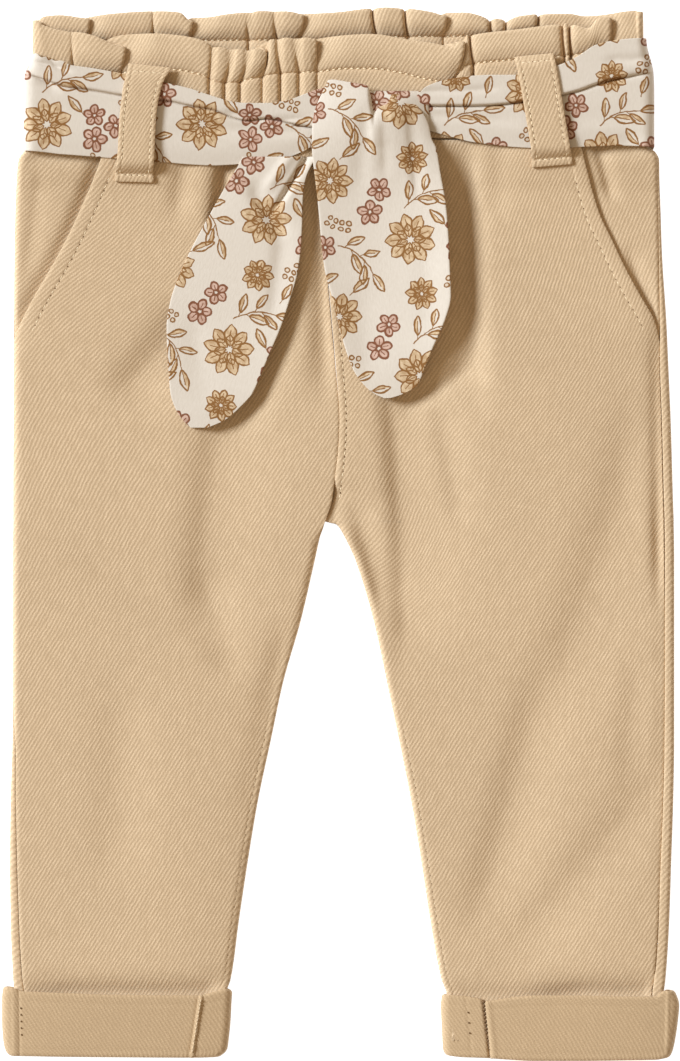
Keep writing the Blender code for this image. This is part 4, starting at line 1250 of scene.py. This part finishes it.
def printed():
    """Off-white cotton with drawn flowers, sprigs and rings in golden brown and dusty pink."""
    made, shader, cut = new_finish("belt print", roughness=0.8, sheen=0.08)
    sockets = {"Vector": cut, "Scale": 170.0, "Detail": 3.0, "Roughness": 0.6}
    drift = cut.node("TexNoise", {}, sockets, output=1)
    shaken = cut.node("VectorMath", {"operation": "MULTIPLY"}, {0: drift, 1: (2.0, 2.0, 0.0)})
    pressure = cut.noise(380.0, detail=1.0)
    sockets = {0: cut, 1: (1000.0, 1000.0, 0.0), 2: shaken}
    scaled = cut.node("VectorMath", {"operation": "MULTIPLY_ADD"}, sockets)
    totals = {}
    half = (TILE[0] / 2, TILE[1] / 2, 1.0)
    for motif in MOTIFS:
        colour = "pink" if motif.kind == "blossom" else "ochre"
        moved = cut.node("VectorMath", {"operation": "SUBTRACT"}, {0: scaled, 1: (motif.x, motif.y, 0.0)})
        near = {0: moved, 1: half, 2: tuple(-value for value in half)}
        wrapped = cut.node("VectorMath", {"operation": "WRAP"}, near)
        sockets = {"Vector": wrapped, "Angle": math.radians(-motif.turn)}
        turned = cut.node("VectorRotate", {"rotation_type": "Z_AXIS"}, sockets)
        for part, value in zip(("line", "fill"), drawn_motif(motif.kind, turned, pressure, motif.size)):
            key = colour + " " + part
            totals[key] = totals[key].largest(value) if key in totals else value
    weave = cut.noise(1400.0, detail=1.0, stretch=(1.0, 0.3, 1.0))
    ground = cut.blend((0.655, 0.575, 0.482, 1.0), (0.74, 0.66, 0.567, 1.0), weave)
    wash = cut.noise(420.0, detail=3.0)
    ochre = cut.blend((0.44, 0.255, 0.10, 1.0), (0.72, 0.53, 0.32, 1.0), wash.step(0.3, 0.7))
    pink = cut.blend((0.45, 0.235, 0.155, 1.0), (0.68, 0.44, 0.34, 1.0), wash.step(0.3, 0.7))
    dye_and_painted_shade = cut.blend(ground, ochre, totals["ochre fill"] * 0.85)
    dye_and_painted_shade = cut.blend(dye_and_painted_shade, pink, totals["pink fill"] * 0.8)
    dye_and_painted_shade = cut.blend(dye_and_painted_shade, (0.26, 0.118, 0.032, 1.0), totals["ochre line"])
    dye_and_painted_shade = cut.blend(dye_and_painted_shade, (0.22, 0.082, 0.038, 1.0), totals["pink line"])
    cut.tree.links.new(dye_and_painted_shade.socket, shader.inputs["Base Color"])
    bump = cut.node("Bump", {}, {"Height": weave, "Distance": 0.05 * MM, "Strength": 1.0})
    cut.tree.links.new(bump.socket, shader.inputs["Normal"])
    return made


PRINT = printed()
# The belt's edges, and the crease between its halves
BAND_COLUMNS = "x top crease bottom"
RIGHT_BELT = chart(
    BAND_COLUMNS,
    (-126.2, 190.4, 183, 152.6),
    (-123.8, 191.4, 182.7, 152.4),
    (-121.4, 189.4, 182.2, 152.2),
    (-118.2, 190, 181.2, 151.9),
    (-115.6, 188, 180.2, 151.6),
    (-112.6, 188.4, 179.2, 151.2),
    (-108.6, 186.6, 178.2, 150.9),
    (-99.6, 185.4, 177, 150.2),
    (-85.4, 182.8, 174.6, 149),
    (-69.4, 179.4, 172.8, 147.8),
    (-59.4, 177, 170.6, 147),
    (-51, 174.2, 169.2, 146.6),
    (-42.2, 171.8, 165.8, 147),
    (-37.8, 171.4, 164.8, 147.2),
    (-29, 171.4, 165.7, 147.7),
    (-20.6, 172.6, 163.8, 149.8),
    (-16.2, 174.2, 162.8, 151.6),
    (-8.6, 177, 161.6, 155),
    (-2.6, 178.2, 161, 156.6),
)
LEFT_BELT = chart(
    BAND_COLUMNS,
    (23.8, 172.2, 170.2, 165.4),
    (30.2, 174.2, 170.8, 161.4),
    (33.8, 177.8, 170.7, 160.8),
    (41.8, 180.6, 170.6, 158.6),
    (52.2, 182.2, 170.6, 156),
    (59.4, 182.6, 170.8, 155),
    (71, 182.6, 172, 153.8),
    (81.8, 184.8, 173.6, 153.4),
    (91, 188.2, 175.6, 153.8),
    (95.4, 190.6, 176.8, 154),
    (101.8, 194.6, 179.2, 154.2),
    (109.4, 196.2, 181.2, 154.5),
    (116.6, 197, 182.6, 154.4),
    (125, 197.4, 184.8, 153.8),
)
BELT_FOLDS = chart(
    FOLD_COLUMNS,
    ("right", -128, 188.4, -106, 183.4, 0.4, 0.8, 0.9, 1.3),
    ("right", -127, 186.6, -112, 177, -0.8, 0.8, 1.2, 1),
    ("right", -120, 190.4, -112.4, 184.6, 0.3, 0.7, 0.9, 0.9),
    ("right", -128, 178, -110, 176, 0.6, 1, 1.4, 0.7),
    ("right", -128, 171, -88, 166, 0, 3, 4, 0.4),
    ("right", -72, 160, -8, 158.6, 1.6, 2, 2, 0.8),
    ("right", -48, 168.4, -28, 166, -0.8, 1.4, 1.4, 1),
    ("right", -40, 163.8, -8, 165.4, 0, 0.7, 1.4, 0.7),
    ("right", -22, 150.6, -4, 156, 0, 0.7, 1.2, 0.9),
    ("left", 28, 176.4, 66, 177.4, -0.8, 1, 1.4, 0.8),
    ("left", 26, 166.4, 74, 162.6, 1, 1.4, 2.4, 0.7),
    ("left", 88, 165, 122, 168, -1.6, 3, 4, 0.4),
    ("left", 104, 188, 128, 189.4, 0, 1, 1.4, 0.9),
    ("left", 112, 182.2, 130, 185, -0.4, 0.8, 1, 0.8),
)
BELT_STEP = 1.4  # how much higher the upper half of the belt lies than its lower one
BELT_ROUND = 4.5  # radius of the belt's turn round each side of the waist
BELT_TURN = BELT_ROUND * (1.0 - np.cos(np.radians(np.linspace(0.0, 90.0, 8))))
SLANT_REACH = 24.0  # how far from each side of the waist the belt's edges slant
HALF_BELT = [0.0, 0.02, 0.06, 0.12, 0.2, 0.3, 0.4, 0.5, 0.6, 0.7, 0.8, 0.88, 0.93, 0.96, 0.98]


def make_stretch(which, table, lean, print_at):
    """Front of the belt on one side of the knot; its upper half laps over the lower one at the crease."""
    inwards = INWARDS[which]
    side = table[0].x if which == "right" else table[-1].x
    first, last = table[0].x, table[-1].x

    def place(x, r):
        low, crease, high = (along(table, name, x) for name in ("bottom", "crease", "top"))
        y = low + (crease - low) * np.minimum(r, 1.0) + (high - crease) * np.maximum(r - 1.0, 0.0)
        from_side = np.abs(x - side)
        z = BELT_LEVEL - BELT_STEP * (0.5 - ease(r, 0.98, 1.02)) - folded(BELT_FOLDS, which, x, y)
        z = z - 1.5 * bell(y - crease + 0.3, 0.5) * ease(from_side, 0.0, 12.0)
        lying = front_height(which, x, y, folds=()) + TWILL / 2 + BELT_WALL
        z = z + (np.minimum(lying, z) - z) * ease(y - low, 8.0, 0.5) * ease(from_side, 3.0, 12.0)
        middle = MIDDLE_Z + 0.15
        z = middle + (z - middle) * rounded(from_side, BELT_ROUND)
        shift = inwards * lean * np.maximum(1.0 - from_side / SLANT_REACH, 0.0)
        return x + shift * ease(r, 0.7, 2.0), y, z

    if which == "right":
        columns = np.concatenate([first + BELT_TURN, np.linspace(first + BELT_ROUND, last, 90)[1:]])
    else:
        columns = np.concatenate([np.linspace(first, last - BELT_ROUND, 90)[:-1], last - BELT_TURN[::-1]])
    rows = np.array(HALF_BELT + [1.0] + [2.0 - share for share in reversed(HALF_BELT)])

    def cut(points):
        return points[..., 0] + print_at[0], points[..., 1] + print_at[1]

    return lay(
        "belt_stretch_" + which, columns, rows, place, PRINT, ["belt_front_" + which],
        wall=BELT_WALL, cut=cut, smoother=1
    )


right_stretch = make_stretch("right", RIGHT_BELT, lean=3.0, print_at=(4.0, 9.0))
rests_on = [waist_front.name, "front_panel_right"]
left_stretch = make_stretch("left", LEFT_BELT, lean=3.2, print_at=(30.0, 22.0))
rests_on = [waist_front.name, "front_panel_left"]
BELT_SIDES = (RIGHT_BELT[0].x, LEFT_BELT[-1].x)


def behind(x, r):
    """The stretch behind the waist, a little higher at the wearer's left."""
    low, high = 153.0, 191.5 + 3.4 * x / BELT_SIDES[1]
    middle = MIDDLE_Z - 0.75
    from_side = np.minimum(x - BELT_SIDES[0], BELT_SIDES[1] - x)
    shift = 3.1 * np.maximum(1.0 - from_side / SLANT_REACH, 0.0) * ease(r, 0.35, 1.0)
    z = middle + (2.0 - middle) * rounded(from_side, BELT_ROUND)
    return x - np.sign(x) * shift, low + r * (high - low), z


columns = [BELT_SIDES[0] + BELT_TURN, np.linspace(-120.0, 119.0, 40), BELT_SIDES[1] - BELT_TURN[::-1]]
columns = np.concatenate(columns)
belt_behind = lay(
    "belt_behind", columns, np.linspace(0.0, 1.0, 9), behind, PRINT, ["belt_back"],
    wall=BELT_WALL, spin=-1.0, smoother=1
)

# Knot and ends.
# The two ends are tied once. The wearer's left end comes up over the knot and hangs down in front as its
# cap, and the right one comes out under it; both widen downwards to a rounded point.

# Each end of the belt from its point up: its edges, and its heights from the left edge to the right one
TAIL_COLUMNS = "y left right left_z middle_z right_z"
RIGHT_TAIL = chart(
    TAIL_COLUMNS,
    (42.2, -59.8, -53, 6.6, 6.7, 6.8),
    (45.4, -63, -45.8, 6.5, 6.8, 7),
    (50.6, -66.2, -39.8, 6.4, 7, 7.6),
    (57.4, -68.2, -33.8, 6.4, 7.1, 8.6),
    (69.8, -69, -29, 6.4, 7.2, 9),
    (82.6, -69.4, -23.6, 6.4, 7.2, 9.3),
    (93, -67.8, -20.2, 6.5, 7.6, 9.2),
    (103.4, -64.2, -17.2, 6.6, 7.8, 8.9),
    (113, -59.8, -15.8, 6.8, 8, 8.8),
    (124.2, -53.8, -15.2, 7, 8.4, 9),
    (132.2, -49.4, -15, 7.4, 9, 9.4),
    (139.8, -45, -14.2, 8.2, 9.7, 10.2),
    (146.2, -41, -11.8, 9.2, 10.1, 10.3),
    (150.2, -39, -9, 9.6, 10.1, 10.4),
)
LEFT_TAIL = chart(
    TAIL_COLUMNS,
    (54, 17.4, 19.8, 6.8, 6.9, 7),
    (55.8, 13.4, 25.4, 6.6, 7, 7.2),
    (59, 9.6, 30.6, 6.5, 7.1, 7.8),
    (65.4, 5, 33.4, 6.5, 7.3, 9),
    (73.4, 2, 36.6, 6.6, 7.5, 10.4),
    (85.4, -1.4, 41.8, 6.7, 7.6, 11.8),
    (94.2, -3.4, 44, 6.8, 7.7, 12.6),
    (105.4, -6.4, 43.6, 7, 7.8, 13.2),
    (115.4, -7.6, 43.2, 7.3, 8.2, 13.4),
    (131, -9, 42, 8.2, 9.4, 13.4),
    (141.4, -10.2, 40.2, 9.4, 11, 13),
    (153.4, -11.4, 38.2, 11.4, 13.8, 12.6),
    (161, -11.4, 36.2, 12, 15.2, 12.3),
    (167.4, -10.8, 35.4, 12, 15.6, 12.1),
    (172.2, -9.4, 33.6, 11.9, 15.2, 12),
    (175.8, -7.4, 30.6, 11.8, 14.4, 11.9),
    (180.6, -5, 27, 11.6, 12.8, 11.8),
)
# Upper edge of the cap, with the notch where it parts over the knot
CAP_TOP = chart(
    "x y",
    (-11.4, 178), (-5, 180.6), (-3, 180.8), (1.8, 180), (7.8, 179), (10.6, 178.4), (11.6, 175.4),
    (12.4, 171), (13.1, 168.4), (14.2, 169.2), (17, 170.8), (18.8, 172), (19.6, 173.8), (20.6, 174.9),
    (23.8, 175), (27.8, 174.6), (33.4, 172.2), (36.4, 168),
)
CAP_LOW = 153.4  # where the cap's upper edge starts to shape it
TAIL_FOLDS = chart(
    FOLD_COLUMNS,
    ("right", -7, 162, -29.4, 124.4, 0.6, 0.8, 1.1, 2.8),
    ("right", -14, 158, -32, 134, 0, 2.2, 2.2, -0.9),
    ("right", -37, 142, -22, 116, 0, 3, 4, 1.6),
    ("right", -60, 88, -52, 50, 0, 5, 5, 0.5),
    ("right", -22, 128, -28, 80, 0, 3, 5, 0.9),
    ("left", 10.5, 174, 6, 130, 0, 2, 3, 0.8),
    ("left", 27, 174, 31, 130, 0, 2, 3, 0.8),
    ("left", 17, 168, 18, 140, 0, 2, 3, 0.5),
    ("left", 8, 104, 12, 58, 0, 5, 7, 0.5),
    ("left", 34, 120, 36, 76, 0, 5, 5, 0.5),
)


def tail_surface(which, table, capped):
    def place(c, y):
        left, right = along(table, "left", y), along(table, "right", y)
        x = left + c * (right - left)
        sides = [along(table, name, y) for name in ("left_z", "middle_z", "right_z")]
        z = sides[0] * (1 - c) * (1 - 2 * c) + sides[1] * 4 * c * (1 - c) + sides[2] * c * (2 * c - 1)
        if capped:
            share = np.maximum((y - CAP_LOW) / (table[-1].y - CAP_LOW), 0.0)
            y = y + share * (along(CAP_TOP, "y", x) - table[-1].y) * (y > CAP_LOW)
        return x, y, z - folded(TAIL_FOLDS, which, x, y)

    return place


def make_tail(which, table, columns, turn, print_at, capped):
    """An end of the belt; the print runs along it, turned to its direction."""
    across, down = math.cos(math.radians(turn)), math.sin(math.radians(turn))

    def cut(points):
        x, y = points[..., 0], points[..., 1]
        return x * across + y * down + print_at[0], y * across - x * down + print_at[1]

    point = table[0].y + 14.0 * np.linspace(0.0, 1.0, 16) ** 2
    rows = np.union1d(point, np.linspace(70.0, table[-1].y, 70))
    return lay(
        "belt_end_" + which, columns, rows, tail_surface(which, table, capped), PRINT,
        ["belt_tail_" + which], wall=BELT_WALL, cut=cut, smoother=1
    )


plain_columns = np.concatenate([[0.0, 0.012, 0.04], np.linspace(0.09, 0.91, 26), [0.96, 0.988, 1.0]])
before_notch = [0.0, 0.02, 0.06, 0.11, 0.17, 0.23, 0.3, 0.37, 0.43, 0.46]
after_notch = [0.83, 0.87, 0.91, 0.95, 0.98, 1.0]
cap_columns = np.concatenate([before_notch, np.linspace(0.475, 0.8, 27), after_notch])
rests_on = ["front_panel_right", "front_panel_left", "belt_knot_core"]
right_end = make_tail("right", RIGHT_TAIL, plain_columns, turn=-16.0, print_at=(12.0, 6.0), capped=False)
left_end = make_tail("left", LEFT_TAIL, cap_columns, turn=4.0, print_at=(37.0, 3.0), capped=True)

# Place and size of the belt's crossing
CORE_LEFT, CORE_LOW, CORE_WIDE, CORE_TALL = -10.0, 155.5, 45.0, 20.5
CORE_Z = 10.2  # height of the crossing's edges
NOTCH_X = 15.0  # where it sinks in, below the notch of the cap


def core(c, r):
    """The belt's crossing under the cap, which shows in the cap's notch and at its sides."""
    x, y = CORE_LEFT + CORE_WIDE * c, CORE_LOW + CORE_TALL * r
    y = y + 2.0 * c * (1.0 - r) - (1.0 - r) * 1.5 * (1.0 - c)
    cap = tail_surface("left", LEFT_TAIL, capped=False)(c, y)[2]
    dome = (1.0 - np.abs(2.0 * c - 1.0) ** 6) * (1.0 - np.abs(2.0 * r - 1.0) ** 6)
    sunk = 1.1 + 1.5 * bell(x - NOTCH_X, 5.0) * ease(y, 164.0, 170.0)
    return x, y, CORE_Z + (cap - sunk - CORE_Z) * dome ** 0.5


def sines(count):
    """Shares from 0 to 1, closer together towards both ends."""
    return np.sin(np.linspace(-0.5, 0.5, count) * math.pi) / 2 + 0.5


knot = lay(
    "belt_knot_core", sines(25), sines(17), core, PRINT, ["belt_knot"], wall=BELT_WALL,
    cut=lambda points: (points[..., 0] + 15.5, points[..., 1] - 167.5)
)

# The light, the surface and the camera.
# A large soft lamp at the upper left and warm light from all round fall on a sheet of white paper. The
# camera looks straight down on it from far above.

world = bpy.data.worlds.new("studio")
world.use_nodes = True
sky = world.node_tree.nodes["Background"]
sky.inputs["Color"].default_value = (1.0, 0.786, 0.536, 1.0)
sky.inputs["Strength"].default_value = 0.42
bpy.context.scene.world = world
bpy.context.scene.view_settings.view_transform = "Standard"

key = bpy.data.lights.new("key", "SUN")
key.energy = 4.55
key.color = (0.80, 0.896, 1.0)
key.angle = math.radians(20.0)
key_light = bpy.data.objects.new("key", key)
key_light.rotation_euler = Vector((0.92, -0.38, -0.66)).to_track_quat("-Z", "Y").to_euler()
bpy.context.scene.collection.objects.link(key_light)

bpy.ops.mesh.primitive_plane_add(size=4.0, location=(0.0, 0.0, -0.0002))
floor = bpy.context.object
floor.name = "floor"
paper = plain("paper", (0.9, 0.9, 0.9), roughness=0.9)
shader = paper.node_tree.nodes["Principled BSDF"]
shader.inputs["Emission Color"].default_value = (0.8, 0.89, 1.0, 1.0)
shader.inputs["Emission Strength"].default_value = 0.92
floor.data.materials.append(paper)

LENS = 200.0
FRAME_HEIGHT = 0.4244  # what the camera takes in of the surface, in metres
FRAME_CENTRE = (-0.0002, 0.0012)
lens = bpy.data.cameras.new("above")
lens.lens = LENS
camera = bpy.data.objects.new("above", lens)
distance = FRAME_HEIGHT / 2 / math.tan(math.atan(lens.sensor_width / 2 / LENS))
camera.location = (*FRAME_CENTRE, distance)
bpy.context.scene.collection.objects.link(camera)
bpy.context.scene.camera = camera
